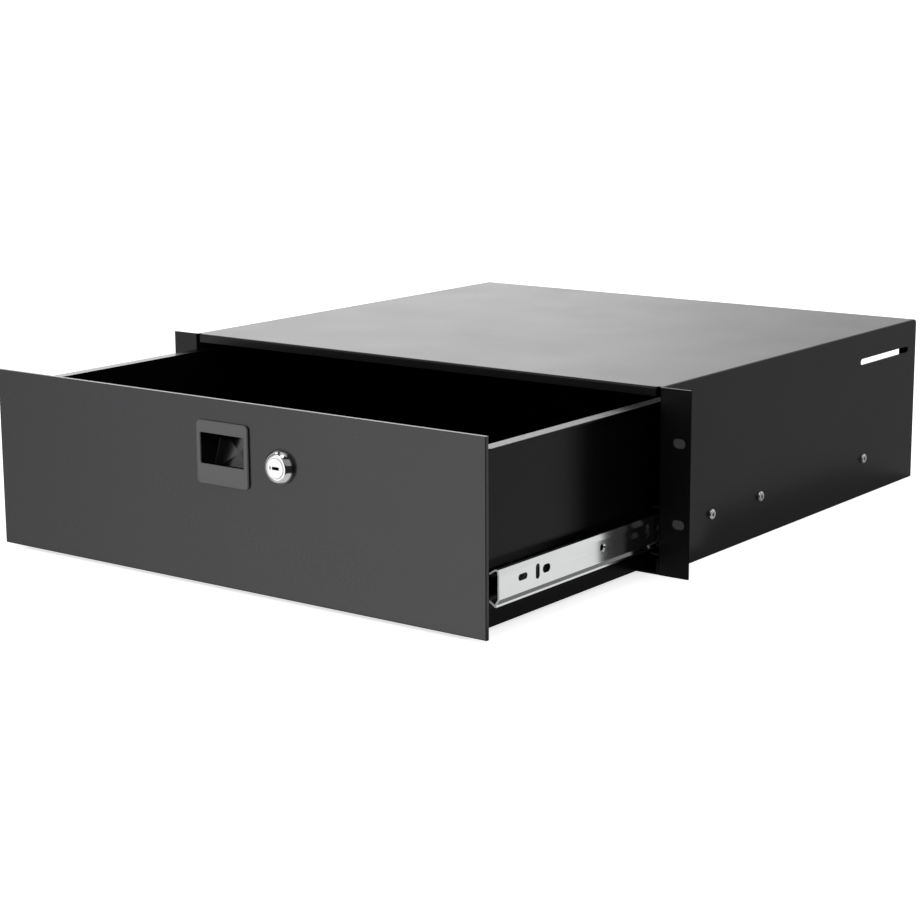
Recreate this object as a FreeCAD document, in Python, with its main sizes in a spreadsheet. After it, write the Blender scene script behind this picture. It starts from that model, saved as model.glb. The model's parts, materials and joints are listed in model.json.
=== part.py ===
import FreeCAD, Part
import math
import os

import Sketcher

# A sliding rack drawer, three rack units high, standing part open on two three-section ball slides.
#
# Axes: +X to the right of a person facing the front, +Y towards the back, +Z up, millimetres.
# The origin is the centre of the four rack slots, on the front face of the ears.
# The drawer is drawn pulled out by "open_travel"; pushed back by that much it is shut.
# Heights in the sheet are measured up from the underside of the case.

DIMENSIONS = [
    # the case
    ("rack_width", 482.6, "over the two ears, a 19 inch panel"),
    ("case_height", 132.5, "three rack units less their clearance"),
    ("case_width", 437.0, "over the side walls"),
    ("case_depth", 400.0, "front of the ears to the back edge"),
    ("case_sheet", 1.5, "folded steel of the case"),
    ("case_bend", 1.9, "outside radius of its folds"),
    ("front_bend", 1.35, "the same at the ears and at the front lip"),
    ("lip_height", 6.5, "turned-down front edge of the top"),
    ("notch_width", 3.4, "relief between that lip and each side wall"),
    ("notch_depth", 3.4, "how far the relief runs into the top"),
    ("notch_radius", 1.734, "its round end, a little over half its width"),
    ("back_lip_height", 12.0, "turned-down back edge of the top"),
    ("back_corner", 3.0, "radius of the back corners seen from the side"),
    ("return_width", 14.5, "folds at the back of the side walls"),
    ("return_gap", 3.2, "relief above and below those folds"),
    ("slot_columns", 465.1, "rack slots, left to right"),
    ("slot_rows", 57.15, "rack slots, bottom to top"),
    ("slot_length", 10.2, "rack slot, over its round ends"),
    ("slot_width", 6.8, "rack slot"),
    ("side_slot_front", 300.0, "long slot in each side wall, front end"),
    ("side_slot_back", 385.0, "long slot in each side wall, back end"),
    ("side_slot_height", 109.4, "its centre line"),
    ("side_slot_width", 4.9, "its width"),
    ("base_sheet", 1.2, "bottom plate"),
    ("base_fold", 11.0, "turned-up edges of the bottom plate"),
    ("base_back", 20.0, "turned-up back edge of the bottom plate"),
    ("weld_gap", 0.3, "between the bottom plate's ends and the case"),
    # the slides
    ("slide_space", 12.7, "between the tray and the case wall"),
    ("slide_height", 30.6, "centre line of the slides"),
    ("outer_front", 3.0, "fixed rail, front end behind the ears"),
    ("outer_length", 350.0, "fixed rail"),
    ("outer_half", 17.5, "half the height of the fixed rail"),
    ("outer_depth", 6.3, "fixed rail, from its web to where its edge turns in"),
    ("outer_curl", 1.6, "turned-in edge of the fixed rail"),
    ("outer_lean", 1.28, "how far that edge leans towards the rail's middle"),
    ("outer_sheet", 1.2, "steel of the fixed rail"),
    ("outer_bend", 1.8, "outside radius of its folds"),
    ("middle_front", -186.5, "middle rail, front end as drawn"),
    ("middle_length", 325.0, "middle rail"),
    ("middle_half", 12.3, "half the height of the middle rail"),
    ("middle_web", 8.2, "centre line to the top of its flat web"),
    ("step_top", 7.2, "centre line down to where the lower step leaves that web"),
    ("middle_face", 11.2, "tray wall to the outside of that web"),
    ("ridge_inner", 7.9, "tray wall to the inside of the ridge"),
    ("ridge_outer", 9.0, "tray wall to the outside of the ridge"),
    ("ridge_foot", 10.9, "depth at which the lower step from the web meets the ridge"),
    ("crown_outer", 10.7, "tray wall to the outside of its upper edge, which has no step"),
    ("edge_inner", 3.3, "tray wall to the free edge of the middle rail"),
    ("edge_drop", 2.9, "fall from the ridge to that edge"),
    ("access_rim", 3.3, "outside radius of the countersink round the round access hole"),
    ("access_round", 2.3, "radius of that hole"),
    ("middle_sheet", 1.1, "steel of the middle rail"),
    ("access_height", 2.8, "line of the access holes above the slide's centre"),
    ("long_length", 10.0, "long access slot, the first of a group"),
    ("long_width", 4.4, "that slot, across, and the upright one too"),
    ("upright_place", 16.5, "first slot to the upright one"),
    ("upright_length", 10.2, "upright access slot"),
    ("oval_place", 26.5, "first slot to the oval one"),
    ("oval_length", 8.6, "oval access slot"),
    ("oval_width", 5.6, "oval access slot"),
    ("round_place", 118.6, "front end to the round access hole"),
    ("inner_front", -172.0, "tray rail, front end as drawn"),
    ("inner_length", 308.0, "tray rail"),
    ("inner_half", 6.05, "half the height of the tray rail"),
    ("inner_depth", 8.6, "width of its flanges"),
    ("inner_sheet", 1.2, "steel of the tray rail"),
    ("inner_bend", 1.6, "outside radius of its folds"),
    ("outer_ball_radius", 1.95, "balls between fixed and middle rails"),
    ("outer_ball_offset", 8.45, "tray wall to their centres"),
    ("outer_ball_height", 14.3, "their centres from the slide's centre"),
    ("inner_ball_radius", 1.5, "balls between middle and tray rails"),
    ("inner_ball_offset", 5.4, "tray wall to their centres"),
    ("inner_ball_height", 7.6, "their centres from the slide's centre"),
    ("cage_length", 110.0, "strip that spaces one row of balls"),
    ("cage_width", 5.0, "that strip, across"),
    ("cage_sheet", 0.8, "that strip, thick"),
    ("cage_play", 0.2, "round each ball in the strip"),
    ("outer_cage_front", 16.0, "outer cages, front end as drawn"),
    ("inner_cage_front", -52.0, "inner cages, front end as drawn"),
    ("ball_pitch", 18.0, "ball to ball along the strip"),
    ("stop_front", 342.5, "rubber stop inside the fixed rail"),
    ("stop_length", 8.0, "that stop, front to back"),
    ("stop_half", 9.0, "half its height"),
    ("stop_width", 8.5, "that stop, side to side"),
    # the drawer
    ("open_travel", 202.5, "how far the drawer stands open"),
    ("shut_gap", 0.5, "panel to ears when shut"),
    ("panel_width", 439.2, "drawer front"),
    ("panel_height", 129.6, "drawer front"),
    ("panel_bottom", 2.2, "its lower edge above the underside"),
    ("panel_sheet", 3.0, "its thickness"),
    ("panel_edge", 0.6, "rounding of its front edges"),
    ("tray_depth", 385.0, "tray, front to back"),
    ("tray_bottom", 2.6, "underside of the tray"),
    ("tray_top", 121.0, "top of its sides"),
    ("tray_end_top", 115.0, "top of its front and back walls"),
    ("tray_sheet", 1.2, "folded steel of the tray"),
    ("tray_bend", 1.5, "outside radius of the pan's two folds"),
    ("weld_flange", 9.0, "fold inwards along the bottom of its sides"),
    ("tray_flange", 8.2, "fold outwards along the top of its sides"),
    ("flange_start", 3.0, "front end of that fold, at the wall"),
    ("stud_column", 190.0, "weld studs from the middle of the panel"),
    ("stud_low", 24.0, "height of the lower studs"),
    ("stud_high", 104.0, "height of the upper studs"),
    ("stud_radius", 2.0, "weld stud"),
    ("stud_length", 7.0, "weld stud"),
    ("stud_hole", 2.3, "radius of its hole in the tray"),
    ("stud_nut_flats", 7.0, "stud nut, across flats"),
    ("stud_nut_height", 3.2, "stud nut"),
    ("fit_play", 0.05, "round the studs, the lock's barrel and its square tail"),
    # the finger pull
    ("pull_x", 1.8, "centre of the pull"),
    ("bezel_width", 46.7, "its rim"),
    ("bezel_top", 116.9, "top of the rim"),
    ("bezel_bottom", 73.0, "bottom of the rim"),
    ("bezel_corner", 3.5, "corner radius of the rim"),
    ("bezel_round", 1.1, "rounding of its front edge"),
    ("bezel_proud", 2.0, "rim in front of the panel"),
    ("mouth_width", 39.2, "opening for the fingers"),
    ("mouth_top", 108.4, "top of the opening"),
    ("mouth_bottom", 87.0, "bottom of the opening"),
    ("mouth_corner", 0.8, "corner radius of the opening"),
    ("cup_wall", 1.5, "wall of the cup behind"),
    ("cup_depth", 21.0, "inside depth of the cup from the panel's face, at the top"),
    ("cup_shallow", 10.0, "the same at the bottom, where its back has come forward"),
    ("cup_bottom", 78.5, "inside floor of the cup"),
    ("cup_play", 0.2, "cup to panel cut-out"),
    ("clip_height", 16.0, "spring clip"),
    ("clip_sheet", 0.8, "steel of the spring clip"),
    ("clip_reach", 6.0, "foot of the spring clip"),
    # the lock
    ("lock_x", 53.0, "centre of the lock"),
    ("lock_height", 92.4, "centre of the lock"),
    ("head_radius", 11.9, "its head, at the panel"),
    ("head_side", 2.6, "straight side of the head"),
    ("face_radius", 9.1, "flat face of the head"),
    ("face_round", 0.5, "rounding where the bevel meets the face"),
    ("face_bend", 0.75, "radius of that rounding"),
    ("head_proud", 6.0, "face in front of the panel"),
    ("barrel_radius", 9.0, "threaded barrel"),
    ("barrel_flats", 16.0, "across its two flats"),
    ("barrel_back", 13.0, "back of the barrel behind the panel's face"),
    ("barrel_play", 0.15, "barrel to panel hole"),
    ("plug_radius", 6.78, "turning plug"),
    ("plug_play", 0.07, "plug to barrel"),
    ("key_length", 6.0, "keyway"),
    ("key_reach", 3.3, "its right end from the axis of the plug"),
    ("key_width", 2.1, "keyway"),
    ("key_depth", 6.0, "keyway"),
    ("key_tick", 0.9, "width of the short notch beside the keyway"),
    ("key_tick_gap", 1.2, "between the two"),
    ("lock_nut_flats", 23.0, "barrel nut, across flats"),
    ("lock_nut_height", 3.5, "barrel nut"),
    ("cam_sheet", 2.0, "cam"),
    ("cam_hub", 8.0, "radius of the cam round the plug"),
    ("cam_tail", 6.6, "square tail of the plug"),
    ("cam_crank", 6.0, "offset of the cam's arm towards the panel"),
    ("cam_step", 16.5, "axis to that offset"),
    ("cam_reach", 37.0, "axis to the tip of the cam"),
    ("cam_width", 11.0, "arm of the cam"),
    ("cam_screw_radius", 4.2, "head of the screw that holds the cam"),
    ("cam_screw_head", 2.2, "that head, thick"),
    ("cam_slot_width", 0.9, "screwdriver slot in it"),
    ("cam_slot_depth", 1.0, "that slot"),
    # screws
    ("screw_radius", 1.9, "shank of the slide screws"),
    ("screw_hole", 2.0, "radius of their holes"),
    ("case_head_radius", 3.9, "heads outside the case"),
    ("case_head_height", 2.2, "heads outside the case"),
    ("tray_head_radius", 3.2, "heads inside the tray rail"),
    ("tray_head_height", 1.9, "heads inside the tray rail"),
    ("head_round", 1.0, "rounding of the heads"),
    ("recess_width", 1.7, "arms of the cross recess"),
    ("recess_length", 3.5, "over the cross recess"),
    ("recess_depth", 1.6, "depth of the cross recess"),
    ("clinch_radius", 3.6, "clinch nut inside the tray"),
    ("clinch_height", 1.8, "clinch nut inside the tray"),
]

ACCESS_GROUPS = (26.0, 158.5, 265.0)  # first slot of each group, from the middle rail's front end
CASE_SCREWS = (69.0, 140.0, 308.0)  # along Y, from the front of the ears
TRAY_SCREWS = (-150.0, -124.0, -2.0, 110.0)  # along Y, as drawn
SIDES = (("right", 1), ("left", -1))
BALLS_PER_ROW = 6

doc = FreeCAD.newDocument("rack_drawer")


class Size:
    """A length with the sheet formula that gives it, so that both are written once."""

    def __init__(self, number, formula):
        self.number = float(number)
        self.formula = formula

    def __add__(self, other):
        other = as_size(other)
        return Size(self.number + other.number, f"({self.formula} + {other.formula})")

    def __sub__(self, other):
        other = as_size(other)
        return Size(self.number - other.number, f"({self.formula} - {other.formula})")

    def __mul__(self, other):
        other = as_size(other)
        return Size(self.number * other.number, f"({self.formula} * {other.formula})")

    def __truediv__(self, other):
        other = as_size(other)
        return Size(self.number / other.number, f"({self.formula} / {other.formula})")

    def __neg__(self):
        return Size(-self.number, f"(0 - {self.formula})")

    def __radd__(self, other):
        return as_size(other) + self

    def __rsub__(self, other):
        return as_size(other) - self

    def __rmul__(self, other):
        return as_size(other) * self


def as_size(value):
    """A Size as it is, or a plain number as a Size."""
    return value if isinstance(value, Size) else Size(value, f"({float(value)})")


def make_sheet():
    """Writes the driving dimensions into a spreadsheet and gives each one's Size by name."""
    sheet = doc.addObject("Spreadsheet::Sheet", "Dimensions")
    sizes = {}
    for row, (alias, number, meaning) in enumerate(DIMENSIONS, start=1):
        sheet.set(f"A{row}", str(number))
        sheet.setAlias(f"A{row}", alias)
        sheet.set(f"B{row}", meaning)
        sizes[alias] = Size(number, f"Dimensions.{alias}")
    doc.recompute()
    return sizes


S = make_sheet()

# ---- places that several sub-parts share ----
MID = S["case_height"] / 2
HALF_CASE = S["case_width"] / 2
HALF_INSIDE = HALF_CASE - S["case_sheet"]
HALF_TRAY = HALF_INSIDE - S["slide_space"]
PANEL_BACK = -(S["open_travel"] + S["shut_gap"])
PANEL_FRONT = PANEL_BACK - S["panel_sheet"]
TRAY_BACK = PANEL_BACK + S["tray_depth"]


def up(height):
    """Z of a height above the underside of the case."""
    return as_size(height) - MID


SLIDE_Z = up(S["slide_height"])


# ---- drawing helpers ----
def bind(thing, name, size):
    """Ties a property of a document object to its sheet formula."""
    thing.setExpression(name, as_size(size).formula)


def point(x, y):
    return FreeCAD.Vector(as_size(x).number, as_size(y).number, 0)


def hold(sketch, geometry, position, x, y):
    """Fixes one point of a sketch at bound distances from the sketch's origin."""
    for kind, size in (("DistanceX", as_size(x)), ("DistanceY", as_size(y))):
        number = sketch.addConstraint(
            Sketcher.Constraint(kind, -1, 1, geometry, position, size.number)
        )
        name = f"{kind.lower()}_{number}"
        sketch.renameConstraint(number, name)
        sketch.setExpression(f"Constraints.{name}", size.formula)


def hold_radius(sketch, geometry, radius):
    """Fixes the radius of a circle or arc of a sketch."""
    radius = as_size(radius)
    number = sketch.addConstraint(Sketcher.Constraint("Radius", geometry, radius.number))
    sketch.renameConstraint(number, f"radius_{number}")
    sketch.setExpression(f"Constraints.radius_{number}", radius.formula)


def arc_between(start, end, radius, turn):
    """The short arc from start to end; turn is 1 anticlockwise and -1 clockwise."""
    chord = end - start
    across = FreeCAD.Vector(-chord.y, chord.x, 0).normalize()
    rise = math.sqrt(max(radius ** 2 - (chord.Length / 2) ** 2, 0.0))
    centre = (start + end) / 2 + across * rise * turn
    first = math.atan2(start.y - centre.y, start.x - centre.x)
    last = math.atan2(end.y - centre.y, end.x - centre.x)
    if turn < 0:
        first, last = last, first
    circle = Part.Circle(centre, FreeCAD.Vector(0, 0, 1), radius)
    return Part.ArcOfCircle(circle, first, last)


def draw_path(sketch, corners, closed):
    """Draws lines and arcs through corners.

    A corner is (x, y), and (x, y, radius, turn) is a corner reached by an arc of that radius.
    """
    count = len(corners) if closed else len(corners) - 1
    pieces = []
    for index in range(count):
        here = corners[index]
        there = corners[(index + 1) % len(corners)]
        start = point(here[0], here[1])
        end = point(there[0], there[1])
        if len(there) == 4:
            geometry = arc_between(start, end, as_size(there[2]).number, there[3])
            ends = (1, 2) if there[3] > 0 else (2, 1)
        else:
            geometry = Part.LineSegment(start, end)
            ends = (1, 2)
        number = sketch.addGeometry(geometry, False)
        pieces.append((number, ends, there))
    for index, (number, ends, there) in enumerate(pieces):
        hold(sketch, number, ends[0], corners[index][0], corners[index][1])
        if len(there) == 4:
            hold_radius(sketch, number, there[2])
        following = pieces[(index + 1) % len(pieces)]
        if closed or index < len(pieces) - 1:
            sketch.addConstraint(
                Sketcher.Constraint("Coincident", number, ends[1], following[0], following[1][0])
            )
        else:
            hold(sketch, number, ends[1], there[0], there[1])


def draw_circle(sketch, x, y, radius):
    circle = Part.Circle(point(x, y), FreeCAD.Vector(0, 0, 1), as_size(radius).number)
    number = sketch.addGeometry(circle, False)
    hold(sketch, number, 3, x, y)
    hold_radius(sketch, number, radius)


def draw_slot(sketch, x, y, length, width, upright=False):
    """A slot with round ends, lying along the sketch's x, or along its y if upright."""
    x, y, length, width = (as_size(value) for value in (x, y, length, width))
    reach = (length - width) / 2
    radius = width / 2
    if upright:
        far, near = (x, y + reach), (x, y - reach)
        angles = ((0, math.pi), (math.pi, 2 * math.pi))
        side = FreeCAD.Vector(radius.number, 0, 0)
    else:
        far, near = (x - reach, y), (x + reach, y)
        angles = ((math.pi / 2, 3 * math.pi / 2), (-math.pi / 2, math.pi / 2))
        side = FreeCAD.Vector(0, radius.number, 0)
    numbers = []
    for centre, (first, last) in zip((far, near), angles):
        circle = Part.Circle(point(*centre), FreeCAD.Vector(0, 0, 1), radius.number)
        numbers.append(sketch.addGeometry(Part.ArcOfCircle(circle, first, last), False))
    lines = []
    for sign in (-1, 1):
        start, end = (far, near) if sign < 0 else (near, far)
        line = Part.LineSegment(point(*start) + side * sign, point(*end) + side * sign)
        lines.append(sketch.addGeometry(line, False))
    for number, centre in zip(numbers, (far, near)):
        hold(sketch, number, 3, *centre)
        hold_radius(sketch, number, radius)
    for arc, line in ((numbers[0], lines[0]), (numbers[1], lines[1])):
        sketch.addConstraint(Sketcher.Constraint("Tangent", arc, 2, line, 1))
    for line, arc in ((lines[0], numbers[1]), (lines[1], numbers[0])):
        sketch.addConstraint(Sketcher.Constraint("Tangent", line, 2, arc, 1))


def rectangle(x0, x1, y0, y1):
    """Corners of a rectangle, anticlockwise."""
    return [(x0, y0), (x1, y0), (x1, y1), (x0, y1)]


def draw_rounded(sketch, x0, x1, y0, y1, radius):
    """A rectangle with round corners."""
    x0, x1, y0, y1, radius = (as_size(value) for value in (x0, x1, y0, y1, radius))
    corners = [
        (x0 + radius, y0, radius, 1),
        (x1 - radius, y0),
        (x1, y0 + radius, radius, 1),
        (x1, y1 - radius),
        (x1 - radius, y1, radius, 1),
        (x0 + radius, y1),
        (x0, y1 - radius, radius, 1),
        (x0, y0 + radius),
    ]
    draw_path(sketch, corners, True)


# ---- PartDesign helpers ----
PLANES = {"X": "YZ_Plane", "Y": "XZ_Plane", "Z": "XY_Plane"}


def new_body(label):
    body = doc.addObject("PartDesign::Body", label)
    body.Label = label
    return body


def new_sketch(body, axis, place):
    """A sketch of a body, square to the given axis at the given place along it."""
    sketch = body.newObject("Sketcher::SketchObject", f"{body.Name}_sketch")
    for feature in body.Origin.OriginFeatures:
        if feature.Role == PLANES[axis]:
            sketch.AttachmentSupport = [(feature, "")]
    sketch.MapMode = "FlatFace"
    along = -as_size(place) if axis == "Y" else as_size(place)
    bind(sketch, "AttachmentOffset.Base.z", along)
    return sketch


def pad(body, axis, low, high, draw):
    """Adds material between two places along an axis, over what draw puts in the sketch."""
    sketch = new_sketch(body, axis, high if axis == "Y" else low)
    draw(sketch)
    feature = body.newObject("PartDesign::Pad", f"{body.Name}_pad")
    feature.Profile = sketch
    bind(feature, "Length", as_size(high) - as_size(low))
    body.Tip = feature
    doc.recompute()


def pocket(body, axis, low, high, draw):
    """Removes material between two places along an axis, and makes sure that some went."""
    before = body.Shape.Volume
    sketch = new_sketch(body, axis, low if axis == "Y" else high)
    draw(sketch)
    feature = body.newObject("PartDesign::Pocket", f"{body.Name}_pocket")
    feature.Profile = sketch
    feature.Type = "Length"
    bind(feature, "Length", as_size(high) - as_size(low))
    body.Tip = feature
    doc.recompute()
    if body.Shape.Volume > before - 1e-3:
        raise RuntimeError(f"{feature.Label} cut nothing")


def edges_where(shape, test):
    """Names of a shape's straight edges whose middle and direction pass a test."""
    names = []
    for number, edge in enumerate(shape.Edges, start=1):
        if len(edge.Vertexes) != 2:
            continue
        middle = edge.valueAt((edge.FirstParameter + edge.LastParameter) / 2)
        direction = (edge.Vertexes[1].Point - edge.Vertexes[0].Point).normalize()
        if test(middle, direction, edge.Length):
            names.append(f"Edge{number}")
    return names


def round_edges(body, radius, test):
    """Rounds the edges of a body that pass a test."""
    base = body.Tip
    names = edges_where(base.Shape, test)
    if not names:
        raise RuntimeError(f"no edge of {body.Label} to round")
    feature = body.newObject("PartDesign::Fillet", f"{body.Name}_fillet")
    feature.Base = (base, names)
    bind(feature, "Radius", radius)
    body.Tip = feature
    doc.recompute()


def near(value, size, slack=0.02):
    """Whether a measured number is at a Size."""
    return abs(value - as_size(size).number) < slack


# ---- Part helpers ----
def place_at(thing, x, y, z):
    for axis, size in (("x", x), ("y", y), ("z", z)):
        bind(thing, f"Placement.Base.{axis}", size)


def box(name, x0, x1, y0, y1, z0, z1):
    """A block between two corners."""
    block = doc.addObject("Part::Box", name)
    sizes = (("Length", x0, x1), ("Width", y0, y1), ("Height", z0, z1))
    for side, low, high in sizes:
        bind(block, side, as_size(high) - as_size(low))
    place_at(block, x0, y0, z0)
    return block


TURNS = {
    "X": FreeCAD.Rotation(FreeCAD.Vector(0, 1, 0), 90),
    "-X": FreeCAD.Rotation(FreeCAD.Vector(0, 1, 0), -90),
    "Y": FreeCAD.Rotation(FreeCAD.Vector(1, 0, 0), -90),
    "-Y": FreeCAD.Rotation(FreeCAD.Vector(1, 0, 0), 90),
    "Z": FreeCAD.Rotation(),
}


def cylinder(name, towards, x, y, z, radius, length):
    """A cylinder that starts at a point and runs the given way."""
    rod = doc.addObject("Part::Cylinder", name)
    rod.Placement = FreeCAD.Placement(FreeCAD.Vector(0, 0, 0), TURNS[towards])
    bind(rod, "Radius", radius)
    bind(rod, "Height", length)
    place_at(rod, x, y, z)
    return rod


def cone(name, x, y, z, side):
    """The countersink of the round access hole, its wide end at a point on the web."""
    tip = doc.addObject("Part::Cone", name)
    tip.Placement = FreeCAD.Placement(FreeCAD.Vector(0, 0, 0), TURNS["X" if side < 0 else "-X"])
    bind(tip, "Radius1", S["access_rim"])
    bind(tip, "Radius2", S["access_round"])
    bind(tip, "Height", S["access_rim"] - S["access_round"])
    place_at(tip, x, y, z)
    return tip


def hexagon(name, towards, x, y, z, flats, length):
    """A six-sided prism that starts at a point and runs the given way."""
    prism = doc.addObject("Part::Prism", name)
    prism.Polygon = 6
    prism.Placement = FreeCAD.Placement(FreeCAD.Vector(0, 0, 0), TURNS[towards])
    bind(prism, "Circumradius", as_size(flats) / math.sqrt(3))
    bind(prism, "Height", length)
    place_at(prism, x, y, z)
    return prism


def fuse(name, *things):
    joined = doc.addObject("Part::MultiFuse", name)
    joined.Shapes = list(things)
    return joined


def cut(name, base, *tools):
    result = doc.addObject("Part::Cut", name)
    result.Base = base
    result.Tool = tools[0] if len(tools) == 1 else fuse(f"{name}_tools", *tools)
    return result


def group(label, things):
    """Separate solids that make one node."""
    gathered = doc.addObject("Part::Compound", label)
    gathered.Links = list(things)
    gathered.Label = label
    return gathered


def flat_sketch(name, axis, place):
    """A free sketch square to X or Y at the given place along that axis."""
    sketch = doc.addObject("Sketcher::SketchObject", name)
    if axis == "Y":
        turn = FreeCAD.Rotation(FreeCAD.Vector(1, 0, 0), 90)
    else:
        turn = FreeCAD.Rotation(FreeCAD.Vector(1, 1, 1), 120)
    sketch.Placement = FreeCAD.Placement(FreeCAD.Vector(0, 0, 0), turn)
    bind(sketch, f"Placement.Base.{axis.lower()}", place)
    return sketch


def extrude(name, sketch, direction, length):
    solid = doc.addObject("Part::Extrusion", name)
    solid.Base = sketch
    solid.DirMode = "Custom"
    solid.Dir = FreeCAD.Vector(*direction)
    bind(solid, "LengthFwd", length)
    solid.Solid = True
    return solid


def strip(name, side, corners, sheet, front, length):
    """A section bent from strip: a line of (distance from the tray wall, height), thickened.

    The sheet lies inside a line that bends round it, and a negative sheet lies outside.
    """
    sketch = flat_sketch(f"{name}_line", "Y", front)
    placed = []
    for corner in corners:
        turn = (corner[2], corner[3] * side) if len(corner) == 4 else ()
        placed.append(((HALF_TRAY + corner[0]) * side, SLIDE_Z + corner[1]) + turn)
    draw_path(sketch, placed, False)
    face = doc.addObject("Part::Offset2D", f"{name}_section")
    face.Source = sketch
    face.Mode = "Skin"
    face.Join = "Intersection"
    face.Fill = True
    bind(face, "Value", sheet * side)
    return extrude(f"{name}_strip", face, (0, 1, 0), length)


def through_side(name, side, offset, sheet, draw):
    """A cutter through a rail's web, from what draw puts in a sketch of Y and Z."""
    play = 0.5
    start = HALF_TRAY + offset - sheet - play
    if side < 0:
        start = -(HALF_TRAY + offset + play)
    sketch = flat_sketch(f"{name}_holes", "X", start)
    draw(sketch)
    return extrude(f"{name}_cutter", sketch, (1, 0, 0), as_size(sheet) + 2 * play)


# ---- the case ----
def make_case_shell():
    """Top, side walls, ears, front lip and back folds, bent from one sheet."""
    body = new_body("case_shell")
    sheet = S["case_sheet"]
    bend = S["case_bend"]
    inside_bend = bend - sheet
    bottom, top = up(0), up(S["case_height"])
    back = S["case_depth"]

    def arch(sketch):
        corners = [
            (HALF_CASE, bottom),
            (HALF_CASE, top - bend),
            (HALF_CASE - bend, top, bend, 1),
            (bend - HALF_CASE, top),
            (-HALF_CASE, top - bend, bend, 1),
            (-HALF_CASE, bottom),
            (-HALF_INSIDE, bottom),
            (-HALF_INSIDE, top - bend),
            (bend - HALF_CASE, top - sheet, inside_bend, -1),
            (HALF_CASE - bend, top - sheet),
            (HALF_INSIDE, top - bend, inside_bend, -1),
            (HALF_INSIDE, bottom),
        ]
        draw_path(sketch, corners, True)

    pad(body, "Y", 0, back, arch)

    def ears(sketch):
        for side in (-1, 1):
            draw_path(
                sketch,
                rectangle(HALF_INSIDE * side, S["rack_width"] / 2 * side, bottom, top),
                True,
            )
            for row in (-1, 1):
                draw_slot(
                    sketch,
                    S["slot_columns"] / 2 * side,
                    S["slot_rows"] / 2 * row,
                    S["slot_length"],
                    S["slot_width"],
                )

    pad(body, "Y", 0, sheet, ears)
    lip_end = HALF_INSIDE - S["notch_width"]

    def front_lip(sketch):
        draw_path(sketch, rectangle(-lip_end, lip_end, top - S["lip_height"], top - sheet / 2), True)

    pad(body, "Y", 0, sheet, front_lip)

    def back_folds(sketch):
        side_low, side_high = bottom + S["return_gap"], top - S["back_lip_height"]
        for side in (-1, 1):
            inner = (HALF_CASE - S["return_width"]) * side
            draw_path(sketch, rectangle(inner, (HALF_CASE - sheet / 2) * side, side_low, side_high), True)
        draw_path(
            sketch,
            rectangle(-lip_end, lip_end, top - S["back_lip_height"] + S["return_gap"], top - sheet / 2),
            True,
        )

    pad(body, "Y", back - sheet, back, back_folds)

    def notches(sketch):
        for side in (-1, 1):
            straight = S["notch_depth"] - S["notch_width"] / 2
            corners = [
                (lip_end * side, -sheet),
                (HALF_INSIDE * side, -sheet),
                (HALF_INSIDE * side, straight),
                (lip_end * side, straight, S["notch_radius"], side),
            ]
            draw_path(sketch, corners, True)

    pocket(body, "Z", top - S["lip_height"] - sheet, top + sheet, notches)

    def side_holes(sketch):
        front, rear = S["side_slot_front"], S["side_slot_back"]
        draw_slot(
            sketch,
            (front + rear) / 2,
            up(S["side_slot_height"]),
            rear - front,
            S["side_slot_width"],
        )
        for place in CASE_SCREWS:
            draw_circle(sketch, place, SLIDE_Z, S["screw_hole"])

    pocket(body, "X", -HALF_CASE - sheet, HALF_CASE + sheet, side_holes)

    def back_corners(sketch):
        radius = S["back_corner"]
        corners = [
            (back + sheet, top - radius),
            (back + sheet, top + sheet),
            (back - radius, top + sheet),
            (back - radius, top),
            (back, top - radius, radius, -1),
        ]
        draw_path(sketch, corners, True)

    pocket(body, "X", -HALF_CASE - sheet, HALF_CASE + sheet, back_corners)

    fold = S["front_bend"]
    round_edges(
        body,
        fold,
        lambda at, way, length: near(at.y, 0) and near(abs(at.x), HALF_INSIDE) and abs(way.z) > 0.9
        and length > 50,
    )
    round_edges(
        body,
        fold,
        lambda at, way, length: near(at.y, 0) and near(at.z, top) and abs(way.x) > 0.9 and length > 200,
    )
    round_edges(
        body,
        fold,
        lambda at, way, length: near(at.y, back) and near(abs(at.x), HALF_CASE) and abs(way.z) > 0.9
        and length > 50,
    )
    return body


def make_base_plate():
    """Bottom plate, its sides turned up inside the case walls and its back turned up as a stop."""
    body = new_body("base_plate")
    sheet = S["base_sheet"]
    front = S["weld_gap"]
    back = S["case_depth"]
    side_back = back - S["case_sheet"] - S["weld_gap"]
    back_half = HALF_CASE - S["return_width"] - S["weld_gap"] * 3
    bottom = up(0)

    def floor(sketch):
        corners = [
            (-HALF_INSIDE, front),
            (HALF_INSIDE, front),
            (HALF_INSIDE, side_back),
            (back_half, side_back),
            (back_half, back),
            (-back_half, back),
            (-back_half, side_back),
            (-HALF_INSIDE, side_back),
        ]
        draw_path(sketch, corners, True)

    def sides(sketch):
        for side in (-1, 1):
            edges = rectangle((HALF_INSIDE - sheet) * side, HALF_INSIDE * side, front, side_back)
            draw_path(sketch, edges, True)

    def stop(sketch):
        draw_path(sketch, rectangle(-back_half, back_half, back - sheet, back), True)

    pad(body, "Z", bottom, bottom + sheet, floor)
    pad(body, "Z", bottom + sheet / 2, bottom + S["base_fold"], sides)
    pad(body, "Z", bottom + sheet / 2, bottom + S["base_back"], stop)
    return body


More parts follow.
